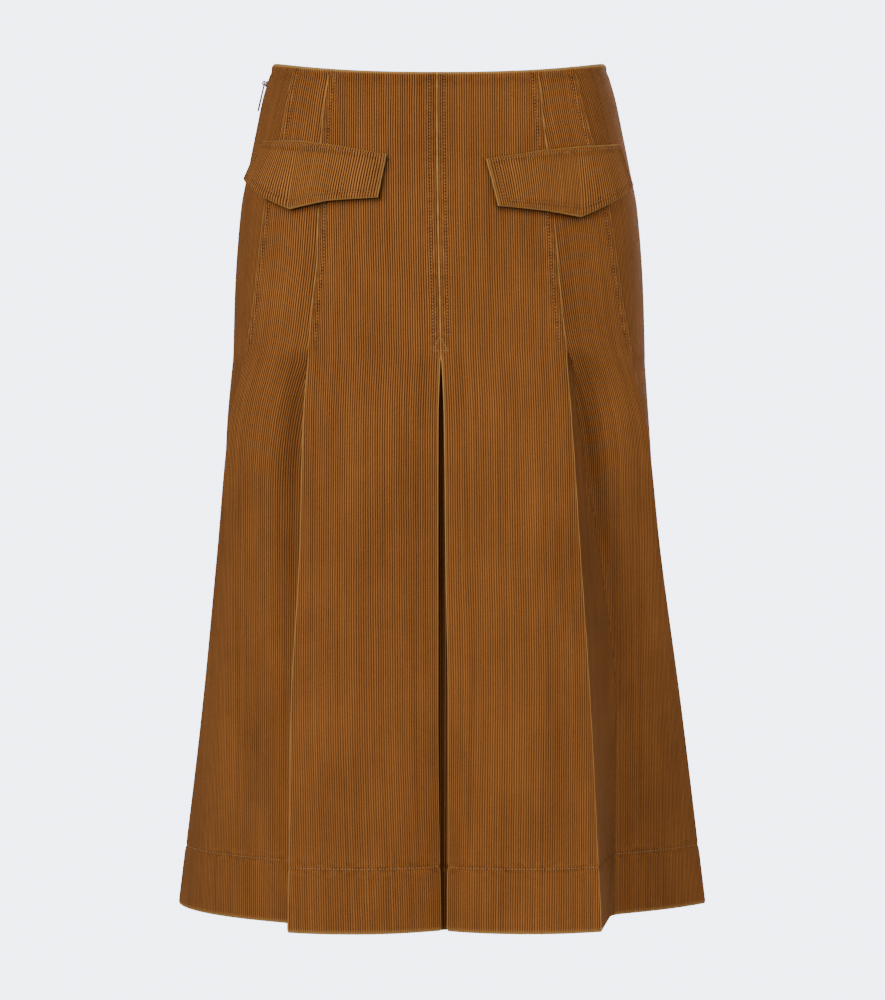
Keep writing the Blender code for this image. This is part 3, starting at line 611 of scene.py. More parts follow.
class Cloth:
    """A sheet of cloth as rows of points, with the flat distances of its wales, its tone and its puckers."""

    def __init__(self, name):
        self.name = name
        self.rows = []

    def add(self, z, face=None, empty=(0, 0), **values):
        """Adds a row, with its columns that show and how many stay empty before and after the others."""
        for key, plain in (("tones", 1.0), ("puckers", 0.0), ("walls", 1.0)):
            values.setdefault(key, [plain] * len(values["points"]))
        row = {key: [None] * empty[0] + found + [None] * empty[1] for key, found in values.items()}
        self.rows.append({"z": z, "face": face, **row})

    @staticmethod
    def middle_of(row):
        shown = [column for column, point in enumerate(row["points"]) if point is not None]
        return shown[len(shown) // 2]

    def downs(self):
        """The flat distance down the cloth to each row, along its middle column."""
        downs = [0.0]
        for above, below in zip(self.rows, self.rows[1:]):
            middle = self.middle_of(above)
            downs.append(downs[-1] + (below["points"][middle] - above["points"][middle]).length)
        return downs

    def build(self, wall, material, slot, held="hung"):
        """Draws the sheet on a grid and gives it its wall."""
        columns, lines = len(self.rows[0]["points"]), len(self.rows)
        mesh = bmesh.new()
        bmesh.ops.create_grid(mesh, x_segments=columns - 1, y_segments=lines - 1, size=1.0)
        tone_layer, pucker_layer, flat = cloth_layers(mesh)
        wall_layer = mesh.verts.layers.deform.new("wall")
        downs = self.downs()
        places, spare = {}, []
        for vert, i, j in grid_cells(mesh.verts, columns, lines):
            row = self.rows[j]
            if row["points"][i] is None:
                spare.append(vert)
                continue
            vert.co = row["points"][i]
            vert[tone_layer] = row["tones"][i]
            vert[pucker_layer] = row["puckers"][i]
            vert[wall_layer][0] = row["walls"][i]
            places[vert] = (row["across"][i], -downs[j])
        bmesh.ops.delete(mesh, geom=spare, context="VERTS")
        lay_flat(mesh, flat, places)
        mesh.normal_update()
        probe = self.rows[lines // 2]
        middle = self.middle_of(probe)
        nearest = min(mesh.verts, key=lambda vert: (vert.co - probe["points"][middle]).length)
        if nearest.normal.dot(probe["facings"][middle]) < 0.0:
            bmesh.ops.reverse_faces(mesh, faces=mesh.faces)
        area = sum(face.calc_area() for face in mesh.faces)
        self.piece = finished("look_" + self.name, mesh, material)
        self.piece.vertex_groups.new(name="wall")
        shell = self.piece.modifiers.new("wall", "SOLIDIFY")
        shell.vertex_group = "wall"
        shell.thickness = wall
        shell.offset = -1.0
        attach(self.piece, "garment")
        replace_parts(self.piece, self.name)
        spans = []
        for row in self.rows:
            shown = [value for value in row["across"] if value is not None]
            spans.append(max(shown) - min(shown))
        self.flat = (max(spans), downs[-1])
        self.area = area if area < self.flat[0] * self.flat[1] else None
        self.held = held

    def declare(self, *others):
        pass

    def line_down(self, seam, distance, low, high=STITCH_TOP):
        """Points and facings down the cloth, at a flat distance from the first or the last seam."""
        found = []
        for row in self.rows:
            if not low <= row["z"] <= high:
                continue
            start, end = row["face"]
            order = range(start, end + 1) if seam == "first" else range(end, start - 1, -1)
            found.append(self.point_in(row, list(order), distance))
        return found

    def line_across(self, z):
        """Points and facings along the face of the row nearest a height."""
        row = min(self.rows, key=lambda row: abs(row["z"] - z))
        start, end = row["face"]
        return list(zip(row["points"], row["facings"]))[start:end + 1]

    @staticmethod
    def point_in(row, order, distance):
        gone = 0.0
        for a, b in zip(order, order[1:]):
            step = (row["points"][b] - row["points"][a]).length
            if gone + step >= distance:
                t = (distance - gone) / step
                point = row["points"][a].lerp(row["points"][b], t)
                return point, row["facings"][a].lerp(row["facings"][b], t).normalized()
            gone += step
        return row["points"][order[-1]], row["facings"][order[-1]]


def finished(name, mesh, material, smooth_faces=True):
    """A mesh made an object in the scene, with its material."""
    data = bpy.data.meshes.new(name)
    mesh.to_mesh(data)
    mesh.free()
    if smooth_faces:
        data.shade_smooth()
    data.materials.append(material)
    piece = bpy.data.objects.new(name, data)
    bpy.context.scene.collection.objects.link(piece)
    return piece


def in_space(side, front, point, height):
    return Vector((side * point.real, -point.imag if front else point.imag, height))


def way_in_space(side, front, facing):
    return in_space(side, front, facing, 0.0).normalized()


def facings_of(points):
    """The way each point of a plan run faces, to the left of the way the run goes."""
    found = []
    for k in range(len(points)):
        ahead = points[min(k + 1, len(points) - 1)]
        behind = points[max(k - 1, 0)]
        step = ahead - behind
        found.append(step / abs(step) * 1j if abs(step) > 1e-9 else 1j)
    return found


def plumb_place(plan, gone, z):
    """Where the upright grain of a side front or side back gore lies across it, as a flat distance."""
    middle = (plan[0].real + plan[-1].real) / 2
    line = middle + (PLUMB - middle) * smooth((PLUMB_TOP - z) / PLUMB_FADE)
    for k in range(len(plan) - 1):
        a, b = plan[k].real, plan[k + 1].real
        if b > line or k == len(plan) - 2:
            return gone[k] + (gone[k + 1] - gone[k]) * (line - a) / (b - a)
    return gone[0]


# A pocket flap's shade: how dark it is, between which heights it falls, how far it reaches below the flap
# and beside its inner end, and how far under the flap it begins.
FLAP_TONE, BESIDE_SHARE = -0.50, 0.9
SHADE_TOP, SHADE_END = -0.070, -0.150
SHADE_BELOW, SHADE_BESIDE = 0.0034, 0.0036
SHADE_UNDER = 0.004


def flap_shade(side, plan, z):
    """How much of a pocket flap's shade falls at a point: below the flap or beside its inner end."""
    if not SHADE_END < z < SHADE_TOP:
        return 0.0
    table = FLAPS[side]
    half_width = row_at(RINGS, z).half_width
    turn = math.degrees(turn_of(min(plan.real / half_width, 1.0)))
    inner = table[0]
    fallen = (z - inner.top_z) / (inner.bottom_z - inner.top_z)
    end = inner.top_turn + (inner.bottom_turn - inner.top_turn) * fallen
    shade = 0.0
    for a, b in zip(table, table[1:]):
        if a.bottom_turn <= turn <= b.bottom_turn:
            t = (turn - a.bottom_turn) / (b.bottom_turn - a.bottom_turn)
            below = a.bottom_z + (b.bottom_z - a.bottom_z) * t - z
            shade = hump(max(below, 0.0), SHADE_BELOW) if below > -SHADE_UNDER else 0.0
    beside = math.radians(end - turn) * half_width
    beside_flap = inner.bottom_z - SHADE_UNDER / 2 < z < inner.top_z - SHADE_UNDER
    if side == RIGHT and beside > -SHADE_UNDER and beside_flap:
        shade = max(shade, BESIDE_SHARE * hump(max(beside, 0.0), SHADE_BESIDE))
    return shade


def gore(name, side, front, which):
    """A gore's sheet, with its seams, folds and creases, and tones of wear of the pile with painted light and
    shade.
    """
    cloth = Cloth(name)
    lead, shown, tail = COLUMNS[which]
    shares = face_shares(shown)
    seams = GORE_SEAMS[which]
    if side == LEFT and which == "main":
        seams = (LEFT_CENTRE, seams[1])
    for z in HEIGHTS:
        before, face, after, drift = plan_row(side, front, z, which, shares)
        run = before + face + after
        plan = [point for point, height in run]
        facings = facings_of(plan)
        if which == "side":
            facings[-1] = complex(1.0, 0.0)
        face_at, last_at = len(before), len(before) + len(face) - 1
        gone = gone_along(plan)
        grain = gone[last_at] if which == "side" else gone[face_at] - drift
        if which == "flank":
            grain = plumb_place(plan[face_at:last_at + 1], gone[face_at:last_at + 1], z)
        sewn = smooth((z - SEAM_END) / SEAM_FADE)
        opened = smooth((OPENS - z) / OPENING)
        fall = max(0.0, (RELEASE - z) / (LENGTH + RELEASE))
        fold_light = (1.0 - sewn) * (1.0 - FOLD_FADE * fall)
        strain = 0.0
        if side == RIGHT and which == "side":
            strain = STRAIN * smooth((z - STRAIN_END) / STRAIN_FADE)
        ways = [way_in_space(side, front, facing) for facing in facings]
        points, tones, puckers, walls = [], [], [], []
        for k, (point, height) in enumerate(run):
            from_first, from_last = gone[k] - gone[face_at], gone[last_at] - gone[k]
            relief = edge_relief(z)
            tone = 1.0 + profile(EDGE_TONE, z)
            pucker = PLAIN_PUCKER + profile(EDGE_PUCKER, z)
            if face_at <= k <= last_at:
                for seam, distance in zip(seams, (from_first, from_last)):
                    worn_and_lit = WORN_AND_LIT_MIDDLE + WORN_AND_LIT_SWING * bent_wave(z, WORN_AND_LIT_WAVES)
                    ripple = bent_wave(height, RIPPLE_WAVES)
                    raised, lighter, ruck = seam_look(seam, distance, worn_and_lit, ripple)
                    relief += sewn * raised
                    tone += sewn * lighter
                    pucker += sewn * ruck
                inside = smooth(min(from_first, from_last) / CREASE_INSET)
                relief -= inside * crease_depth(name, gone[k] - grain, z)
                point += 1j * strain * hump(from_last, STRAIN_WIDTH)
            else:
                point -= TUCKED * sewn * facings[last_at if k > last_at else face_at]
            # Painted highlight, with wear of the pile, round the folds; painted shade on the returns, in the
            # valleys and at the pleats' tops; and a painted shadow below and beside the pocket flaps.
            if which != "side":
                tone += fold_light * FOLD_LIGHT.get(k - last_at, 0.0)
            if which == "main":
                tone += fold_light * FOLD_LIGHT.get(face_at - k, 0.0)
            if which == "main" and k > last_at + 4:
                tone += RETURN_TONE * (1.0 - sewn)
            if which == "flank":
                valley = (1.0 - sewn) * (1.0 - smooth(fall / VALLEY_TONE_END))
                tone += valley * profile(VALLEY_TONE, from_first)
            if k > last_at + 3:
                tone += profile(PLEAT_TOP_TONE, z)
            if front and which != "side":
                tone += FLAP_TONE * flap_shade(side, point, z)
            points.append(in_space(side, front, point, height) + relief * ways[k])
            tones.append(tone)
            puckers.append(pucker)
            walls.append(1.0 if k <= last_at else max(LEAST_WALL, opened))
        cloth.add(
            z,
            face=(lead, lead + len(face) - 1),
            empty=(lead - len(before), tail - len(after)),
            points=points,
            facings=ways,
            across=[distance - grain for distance in gone],
            tones=tones,
            puckers=puckers,
            walls=walls,
        )
    return cloth


# An underlay's arch, as a share of the room before it at the top and how much more at the hem, how far it
# stays clear, and the power of its curve.
ARCH, ARCH_GROWTH = 0.55, 0.42
ARCH_ROOM = 0.0008
ARCH_POWER = 1.05
UNDERLAY_HEM = -0.60


def underlay(name, front):
    """The strip behind an inverted pleat, arched forwards between the hidden edges of its returns."""
    cloth = Cloth(name)
    for z in [height for height in HEIGHTS if height <= RELEASE]:
        right, left = pleat_of(RIGHT, front, z), pleat_of(LEFT, front, z)
        start = complex(-right["inner"].real, right["inner"].imag - STACK_GAP)
        end = complex(left["inner"].real, left["inner"].imag - STACK_GAP)
        depth = right["centre_round"].imag - FOLD_RADIUS - right["inner"].imag
        fall = (RELEASE - z) / (LENGTH + RELEASE)
        rise = depth * (ARCH + ARCH_GROWTH * fall) - ARCH_ROOM
        run = []
        for k, point in enumerate(steps_of(start, end, UNDERLAY_COLUMNS)):
            share = abs(2.0 * k / UNDERLAY_COLUMNS - 1.0)
            run.append(point + rise * (1.0 - share ** ARCH_POWER) * 1j)
        gone = gone_along(run)
        ways = [way_in_space(LEFT, front, facing) for facing in facings_of(run)]
        relief = edge_relief(z) if z < UNDERLAY_HEM else 0.0
        cloth.add(
            z,
            points=[in_space(LEFT, front, point, z) + relief * way for point, way in zip(run, ways)],
            facings=ways,
            across=[distance - gone[-1] / 2 for distance in gone],
            tones=[1.0 + profile(EDGE_TONE, z)] * len(run),
        )
    return cloth


# A flap's thickness and the radius of its rolled edge, how far it stands off as a multiple of its stations'
# stand, and at least, and how far its inner end curls up at the top. FLAP_SAMPLE is the share of its length
# at which its depth is measured, and FLAP_POINT that of its point, where the stitching runs POINT_INSET
# times as far in. Its profiles go by the distance from its edge, and its columns and rows are shares of its
# length and its depth.
FLAP_THICKNESS = 0.0028
FLAP_EDGE = 0.0016
FLAP_STAND, FLAP_LEAST_STAND, STAND_POWER = 1.6, 0.0010, 1.5
CURL, CURL_LENGTH, CURL_DEPTH = 0.0016, 0.06, 0.16
FLAP_PLAIN_PUCKER = 0.15
FLAP_STITCH_INSET = 0.0064
FLAP_TOP_INSET = 0.0040
FLAP_SAMPLE = 0.3
FLAP_POINT, POINT_INSET = 0.6, 1.05
FLAP_LINE_STEPS = 30
FLAP_MERGE = 0.00002
FLAP_RELIEF = (Bump(0.0036, 0.0018, 0.0004), Bump(FLAP_STITCH_INSET, 0.0010, -0.00035))
# The flap's edge tone: paler on its rolled edge from wear of the pile and a painted highlight, with painted
# shade along its stitching.
FLAP_EDGE_TONE = (Bump(0.0, 0.0006, 0.52), Bump(FLAP_STITCH_INSET, 0.0011, -0.20))
FLAP_PUCKER = (Bump(0.0040, 0.0030, 0.7),)
FLAP_SHARES = [0.0, 0.003, 0.008, 0.014, 0.022, 0.034, 0.048, 0.064, 0.09]
FLAP_SHARES += steps_of(0.12, 0.60, 16) + steps_of(0.63, 0.91, 9)
FLAP_SHARES += [0.936, 0.952, 0.966, 0.978, 0.986, 0.992, 0.997, 1.0]
FLAP_DOWNS = [0.0, 0.010, 0.025, 0.045, 0.075, 0.11, 0.15, 0.20, 0.28, 0.38, 0.48, 0.58, 0.68, 0.76]
FLAP_DOWNS += [0.82, 0.86, 0.89, 0.925, 0.955, 0.975, 0.990, 1.0]


def station_at(table, share):
    for before, after in zip(table, table[1:]):
        if share <= after.share:
            t = (share - before.share) / (after.share - before.share)
            return Station(*[a + (b - a) * t for a, b in zip(before, after)])
    return table[-1]


def ring_facing(z, turn, front):
    step = math.radians(0.5)
    along = ring_point(z, turn + step, front) - ring_point(z, turn - step, front)
    return along / abs(along) * 1j


def flap_place(side, share, down, lift):
    """A point over a flap's place on the ring, at a lift off the cloth, and the way it faces."""
    station = station_at(FLAPS[side], share)
    turn = math.radians(station.top_turn + (station.bottom_turn - station.top_turn) * down)
    z = station.top_z + (station.bottom_z - station.top_z) * down
    z -= waist_dip(z, turn, True)
    facing = ring_facing(z, turn, True)
    stand = FLAP_STAND * station.stand * down ** STAND_POWER + FLAP_LEAST_STAND
    curl = CURL * hump(share, CURL_LENGTH) * hump(down, CURL_DEPTH)
    point = ring_point(z, turn, True) + (stand + lift + curl) * facing
    return in_space(side, True, point, z), way_in_space(side, True, facing)


def flap_size(side):
    middle = [flap_place(side, share, 0.5, 0.0)[0] for share in FLAP_SHARES]
    length = sum((b - a).length for a, b in zip(middle, middle[1:]))
    top, bottom = (flap_place(side, FLAP_SAMPLE, down, 0.0)[0] for down in (0.0, 1.0))
    return length, (bottom - top).length


def flap_thickness(share, down, size):
    """A flap's thickness at a point, rolled at its edge and pressed at its stitching, and its distance in."""
    inset = min(share * size[0], (1.0 - share) * size[0], down * size[1], (1.0 - down) * size[1])
    round_off = 1.0 - min(inset / FLAP_EDGE, 1.0)
    return FLAP_THICKNESS * math.sqrt(1.0 - round_off ** 2) + profile(FLAP_RELIEF, inset), inset


def flap(name, side, material):
    """A pocket flap, as two layers of cloth that meet round its edge."""
    size = flap_size(side)
    mesh = bmesh.new()
    tone_layer, pucker_layer, flat = cloth_layers(mesh)
    columns, lines = len(FLAP_SHARES), len(FLAP_DOWNS)
    places = {}
    for back in (False, True):
        made = bmesh.ops.create_grid(mesh, x_segments=columns - 1, y_segments=lines - 1, size=1.0)
        for vert, i, j in grid_cells(made["verts"], columns, lines):
            share, down = FLAP_SHARES[i], FLAP_DOWNS[j]
            thickness, inset = flap_thickness(share, down, size)
            vert.co = flap_place(side, share, down, 0.0 if back else thickness)[0]
            vert[tone_layer] = 1.0 + profile(FLAP_EDGE_TONE, inset)
            vert[pucker_layer] = FLAP_PLAIN_PUCKER + profile(FLAP_PUCKER, inset)
            places[vert] = (share * size[0], -down * size[1])
        if back == (side == RIGHT):
            faces = {face for vert in made["verts"] for face in vert.link_faces}
            bmesh.ops.reverse_faces(mesh, faces=list(faces))
    lay_flat(mesh, flat, places)
    bmesh.ops.remove_doubles(mesh, verts=mesh.verts, dist=FLAP_MERGE)
    bmesh.ops.recalc_face_normals(mesh, faces=mesh.faces)
    piece = finished("look_" + name, mesh, material)
    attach(piece, "garment")
    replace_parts(piece, name)
    return piece, size


def line_through(corners, steps):
    """Pairs of numbers along straight lines from corner to corner, without the last corner."""
    return [
        (a + (c - a) * t, b + (d - b) * t)
        for (a, b), (c, d) in zip(corners, corners[1:])
        for t in steps_of(0.0, 1.0, steps)[:-1]
    ]


def flap_line(side, size, inset, part):
    """A line over a flap at an inset from its edges: along its top, or round its sides and its bottom."""
    across, down = inset / size[0], inset / size[1]
    corners = [(across, down), (1.0 - across, down)]
    if part == "round":
        corners = [(across, down), (across, 1.0 - down), (FLAP_POINT, 1.0 - down * POINT_INSET)]
        corners += [(1.0 - across, 1.0 - down), (1.0 - across, down)]
    return [
        flap_place(side, share, low, flap_thickness(share, low, size)[0])
        for share, low in line_through(corners, FLAP_LINE_STEPS)
    ]


# The corners of the stitched triangle that ends a centre seam, as x and z, and how far it lies out.
TACK = ((0.0011, -0.2310), (-0.0050, -0.2424), (0.0069, -0.2424), (0.0011, -0.2310))
TACK_STEPS, TACK_LIFT = 10, 0.0002j


def tack_line(front):
    """The stitched triangle that ends a centre seam, just above its pleat."""
    line = []
    for x, z in line_through(TACK, TACK_STEPS):
        turn = turn_of(x / row_at(RINGS, z).half_width)
        point = ring_point(z, turn, front) + TACK_LIFT
        line.append((in_space(LEFT, front, point, z), in_space(LEFT, front, 1j, 0.0)))
    return line


class Copies:
    """Many copies of one small shape in one mesh."""

    def __init__(self, shape):
        self.shape = bpy.data.meshes.new("shape")
        shape.to_mesh(self.shape)
        shape.free()
        self.mesh = bmesh.new()

    def put(self, matrix):
        copy = self.shape.copy()
        copy.transform(matrix)
        self.mesh.from_mesh(copy)
        bpy.data.meshes.remove(copy)

    def piece(self, name, material, slot):
        made = finished(name, self.mesh, material)
        bpy.data.meshes.remove(self.shape)
        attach(made, "garment")
        return made


def thread_shape(length, width, height):
    shape = bmesh.new()
    bmesh.ops.create_icosphere(shape, subdivisions=1, radius=1.0)
    bmesh.ops.scale(shape, vec=(length / 2, width / 2, height / 2), verts=shape.verts)
    return shape


def sew(copies, line, pitch, lift=STITCH_LIFT, start=0.5):
    """Sets stitches along a line of points and facings, one each pitch."""
    reach, target = 0.0, pitch * start
    for (a, way_a), (b, way_b) in zip(line, line[1:]):
        step = (b - a).length
        if step < 1e-7:
            continue
        while reach + step >= target:
            t = (target - reach) / step
            out = way_a.lerp(way_b, t).normalized()
            along = (b - a).normalized()
            aside = out.cross(along).normalized()
            out = along.cross(aside)
            turn = Matrix((along, aside, out)).transposed().to_4x4()
            copies.put(Matrix.Translation(a.lerp(b, t) + lift * out) @ turn)
            target += pitch
        reach += step


class Value:
    """A number in a material, with its sums written as plain sums."""

    def __init__(self, nodes, socket):
        self.nodes, self.socket = nodes, socket

    def sum_of(self, operation, *values):
        return self.nodes.add("Math", {"operation": operation}, *values)

    def __add__(self, other):
        return self.sum_of("ADD", self, other)

    def __sub__(self, other):
        return self.sum_of("SUBTRACT", self, other)

    def __rsub__(self, other):
        return self.sum_of("SUBTRACT", other, self)

    def __mul__(self, other):
        return self.sum_of("MULTIPLY", self, other)

    def __pow__(self, other):
        return self.sum_of("POWER", self, other)

    __radd__ = __add__
    __rmul__ = __mul__


class Nodes:
    """The nodes that are added to one tree."""

    def __init__(self, tree):
        self.tree = tree

    def feed(self, socket, value):
        if isinstance(value, Value):
            self.tree.links.new(value.socket, socket)
        elif socket.type == "RGBA":
            socket.default_value = (*value, 1.0)
        else:
            socket.default_value = value

    def add(self, kind, settings, *values, output=0, **named):
        """Adds a node, with its settings first and then the values or links of its sockets."""
        node = self.tree.nodes.new("ShaderNode" + kind)
        for key, setting in settings.items():
            setattr(node, key, setting)
        for socket, value in zip(node.inputs, values):
            self.feed(socket, value)
        for key, value in named.items():
            self.feed(node.inputs[key.replace("_", " ")], value)
        return Value(self, node.outputs[output])


class Paint(Nodes):
    """One material, with the few kinds of node that its surface is mixed from."""

    def __init__(self, name):
        self.material = bpy.data.materials.new(name)
        self.material.use_nodes = True
        super().__init__(self.material.node_tree)
        self.shader = self.tree.nodes["Principled BSDF"]

    def surface(self, **named):
        for key, value in named.items():
            self.feed(self.shader.inputs[key.replace("_", " ")], value)
        return self.material

    def place(self):
        """Where each point is on the object."""
        return self.add("TexCoord", {}, output="Object")

    def parts(self, vector):
        """The X, Y and Z of a vector."""
        split = self.add("SeparateXYZ", {}, Vector=vector)
        return [Value(self, socket) for socket in split.socket.node.outputs]

    def noise(self, place, scale, detail=2.0, roughness=0.5):
        return self.add(
            "TexNoise", {"noise_dimensions": "3D"}, output="Fac", Vector=place, Scale=scale,
            Detail=detail, Roughness=roughness,
        )

    def grain(self, x, y, z, *fine):
        """Noise that is stretched by how fast its three numbers change."""
        return self.noise(self.add("CombineXYZ", {}, x, y, z), 1.0, *fine)

    def blend(self, share, first, second, mode="MIX"):
        mixed = self.add("Mix", {"data_type": "RGBA", "blend_type": mode}, share, output=2)
        self.feed(mixed.socket.node.inputs[6], first)
        self.feed(mixed.socket.node.inputs[7], second)
        return mixed

    def shaded(self, colour, shade):
        """A colour made lighter or darker by a number."""
        return self.blend(1.0, colour, self.add("CombineColor", {}, shade, shade, shade), "MULTIPLY")

    def spread(self, value, low, high, to_low, to_high):
        return self.add("MapRange", {"clamp": True}, value, low, high, to_low, to_high)

    def layer(self, name):
        return self.add("Attribute", {"attribute_name": name}, output="Fac")

    def bump(self, strength, distance, height):
        return self.add("Bump", {}, Strength=strength, Distance=distance, Height=height)


# The corduroy's colours: the dyed ground in the grooves, made darker with painted shade between the ribs, the
# ribs, and a paler colour for wear of the pile and a painted highlight. And its wales.
GROOVE = (0.052, 0.0138, 0.0031)
RIB = (0.478, 0.176, 0.040)
WORN_AND_LIT = (0.74, 0.42, 0.125)
WALE_PITCH = 0.0019
WALE_DEPTH = 0.00050


def corduroy(name, rib, groove=GROOVE, worn_and_lit=WORN_AND_LIT, pitch=WALE_PITCH, contrast=1.0, top=1.32, wavy=0.0011):
    """Cut pile in fine wales along the cloth's own grain, with uneven ribs, grooves darkened with painted
    shade, and edges made paler by wear of the pile and a painted highlight.

    contrast is how far the ribs stand out from the grooves, top how much more at the waist, and wavy how
    far the wales wander.
    """
    paint = Paint(name)
    across, along, _ = paint.parts(paint.add("UVMap", {"uv_map": "cloth"}, output="UV"))
    wander = paint.grain(across * 90.0, along * 22.0, 0.0)
    phase = (across + (wander - 0.5) * wavy) * (2.0 * math.pi / pitch)
    crown = (paint.add("Math", {"operation": "COSINE"}, phase) * 0.5 + 0.5) ** 0.85
    wale = paint.grain(across * 480.0, along * 5.0, 1.7, 1.0)
    pile = paint.grain(across * 1500.0, along * 700.0, 4.1)
    x, y, _ = paint.parts(paint.place())
    lot = x * 7.0 + y * 9.0
    nap = paint.grain(across * 19.0, along * 12.0, lot, 4.0, 0.60)
    streak = paint.grain(across * 150.0, along * 3.0, 5.3, 1.0)
    ruck = paint.grain(across * 120.0, along * 210.0, lot, 1.5)
    tone, pucker = paint.layer("tone"), paint.layer("pucker")
    reach = paint.spread(along, -0.52, -0.06, 0.72 * contrast, top * contrast)
    # The grooves' dark colour is partly the dyed ground and partly painted shade between the ribs.
    colour = paint.blend((crown * 0.88 + pile * 0.40 - 0.61) * reach + 0.47, groove, rib)
    shade = 0.20 + wale * 0.46 + pile * 0.22 + nap * 0.62 + streak * 0.16
    # Puckers lighten and darken the pile in patches: painted light and shade on the puckers.
    colour = paint.shaded(colour, shade + pucker * (ruck - 0.5) * 0.75)
    # A tone above 1 turns the pile to the paler colour: wear and a painted highlight on edges, seams and
    # folds.
    colour = paint.blend(paint.spread(tone, 1.0, 1.45, 0.0, 0.85), colour, worn_and_lit)
    # A tone below 1 darkens it: painted shade in grooves, valleys and pleats, and a painted shadow under the
    # flaps.
    colour = paint.shaded(colour, paint.spread(tone, 0.4, 1.0, 0.24, 1.0))
    return paint.surface(
        Base_Color=colour,
        Roughness=0.96 - crown * 0.12,
        Normal=paint.bump(0.9, WALE_DEPTH, crown + pile * 0.20 + pucker * ruck * 5.0),
        IOR=1.35,
        Specular_IOR_Level=0.18,
        Sheen_Weight=0.07,
        Sheen_Roughness=0.40,
        Sheen_Tint=(0.80, 0.58, 0.30),
    )


def woven(name, dark, light):
    """Plain woven tape, in a herringbone."""
    paint = Paint(name)
    place = paint.place()
    _, run, height = paint.parts(place)
    zigzag = paint.add("Math", {"operation": "PINGPONG"}, run, 0.0012)
    slant = paint.add("Math", {"operation": "SINE"}, (height + zigzag) * 6500.0) * 0.5 + 0.5
    fibre = paint.noise(place, 900.0)
    colour = paint.blend(slant * 0.8 + fibre * 0.2, dark, light)
    return paint.surface(
        Base_Color=colour, Roughness=0.80 + fibre * 0.15, Normal=paint.bump(0.7, 0.0002, slant)
    )


def thread(name, dark, light):
    paint = Paint(name)
    place = paint.place()
    fibre = paint.noise(place, 1400.0, 3.0)
    patch = paint.noise(place, 60.0)
    colour = paint.blend(fibre * 0.6 + patch * 0.4, dark, light)
    return paint.surface(
        Base_Color=colour, Roughness=0.62 + fibre * 0.2, Normal=paint.bump(0.5, 0.0001, fibre)
    )


def antique_brass(name):
    paint = Paint(name)
    place = paint.place()
    stain = paint.noise(place, 420.0, 4.0, 0.6)
    grain = paint.noise(place, 3200.0)
    stained = paint.spread(stain, 0.35, 0.7, 0.0, 1.0)
    return paint.surface(
        Base_Color=paint.blend(stained, (0.16, 0.095, 0.045), (0.36, 0.24, 0.11)),
        Roughness=0.26 + stain * 0.25,
        Metallic=0.9 + grain * 0.1,
        Normal=paint.bump(0.25, 0.0001, grain),
    )


def brown_enamel(name):
    """Metal dyed to match the cloth, rubbed bare in small places."""
    paint = Paint(name)
    rub = paint.noise(paint.place(), 700.0, 4.0, 0.6)
    bare = paint.spread(rub, 0.66, 0.74, 0.0, 1.0)
    return paint.surface(
        Base_Color=paint.blend(bare, (0.150, 0.058, 0.016), (0.34, 0.22, 0.10)),
        Roughness=0.62 + rub * 0.2,
        Metallic=bare * 0.5,
        Normal=paint.bump(0.3, 0.0001, rub),
    )


def pale_ground(name):
    """A plain pale ground in the tone of the studio, seamless with it."""
    return Paint(name).surface(
        Base_Color=(0.0, 0.0, 0.0),
        Roughness=1.0,
        Specular_IOR_Level=0.0,
        Emission_Color=BACKDROP,
        Emission_Strength=1.0,
    )


def side_edge(z):
    return row_at(RINGS, z).half_width


# The zip, from the inside of the wall: its tapes lie TAPE_IN behind it and its teeth TEETH_IN. The tapes
# stop short of the seam, where the chain is, and wave in and out by TAPE_WAVE.
TAPE_TOP, TAPE_END = -0.012, -0.200
TAPE_WIDTH, TAPE_WALL = 0.011, 0.0007
TAPE_GAP = 0.0036
TAPE_IN = 0.0008
TAPE_ROWS, TAPE_COLUMNS = 48, 6
TAPE_WAVE, TAPE_RATE = 0.0001, 700.0
TOOTH = (0.0015, 0.0022, 0.00062)
TOOTH_BEVEL = 0.00018
TOOTH_STAGGER = 0.00062
TEETH_IN = 0.0014
TEETH_TOP, TEETH_END, TEETH = -0.0234, -0.1992, 230


def zip_tape(name, front, material):
    """One tape of the zip inside the side seam, with a slight fullness."""
    cloth = Cloth(name)
    for z in steps_of(TAPE_TOP, TAPE_END, TAPE_ROWS):
        seam_turn = math.pi / 2 - TAPE_GAP / side_edge(z)
        inner_turn = math.pi / 2 - TAPE_WIDTH / row_at(RINGS, z).front
        points, ways = [], []
        for turn in steps_of(seam_turn, inner_turn, TAPE_COLUMNS):
            facing = ring_facing(z, turn, front)
            inside = WALL + TAPE_IN + TAPE_WAVE * math.sin(z * TAPE_RATE)
            point = ring_point(z, turn, front) - inside * facing
            points.append(in_space(RIGHT, front, point, z))
            ways.append(way_in_space(RIGHT, front, facing))
        across = gone_along(points, lambda step: step.length)
        cloth.add(z, points=points, facings=ways, across=across)
    cloth.build(TAPE_WALL, material, "tape", "stretched")
    cloth.declare()


def zip_teeth(material):
    """The closed chain, as two rows of teeth that mesh behind the seam."""
    tooth = bmesh.new()
    bmesh.ops.create_cube(tooth, size=1.0)
    bmesh.ops.scale(tooth, vec=TOOTH, verts=tooth.verts)
    bmesh.ops.bevel(
        tooth, geom=tooth.edges[:], offset=TOOTH_BEVEL, segments=1, profile=0.5, affect="EDGES", material=-1
    )
    rows = Copies(tooth)
    for k, z in enumerate(steps_of(TEETH_TOP, TEETH_END, TEETH)):
        x = WALL + TEETH_IN - side_edge(z)
        rows.put(Matrix.Translation((x, TOOTH_STAGGER if k % 2 else -TOOTH_STAGGER, z)))
    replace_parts(rows.piece("look_zip_teeth", material, "zip_metal"), "zip_chain")


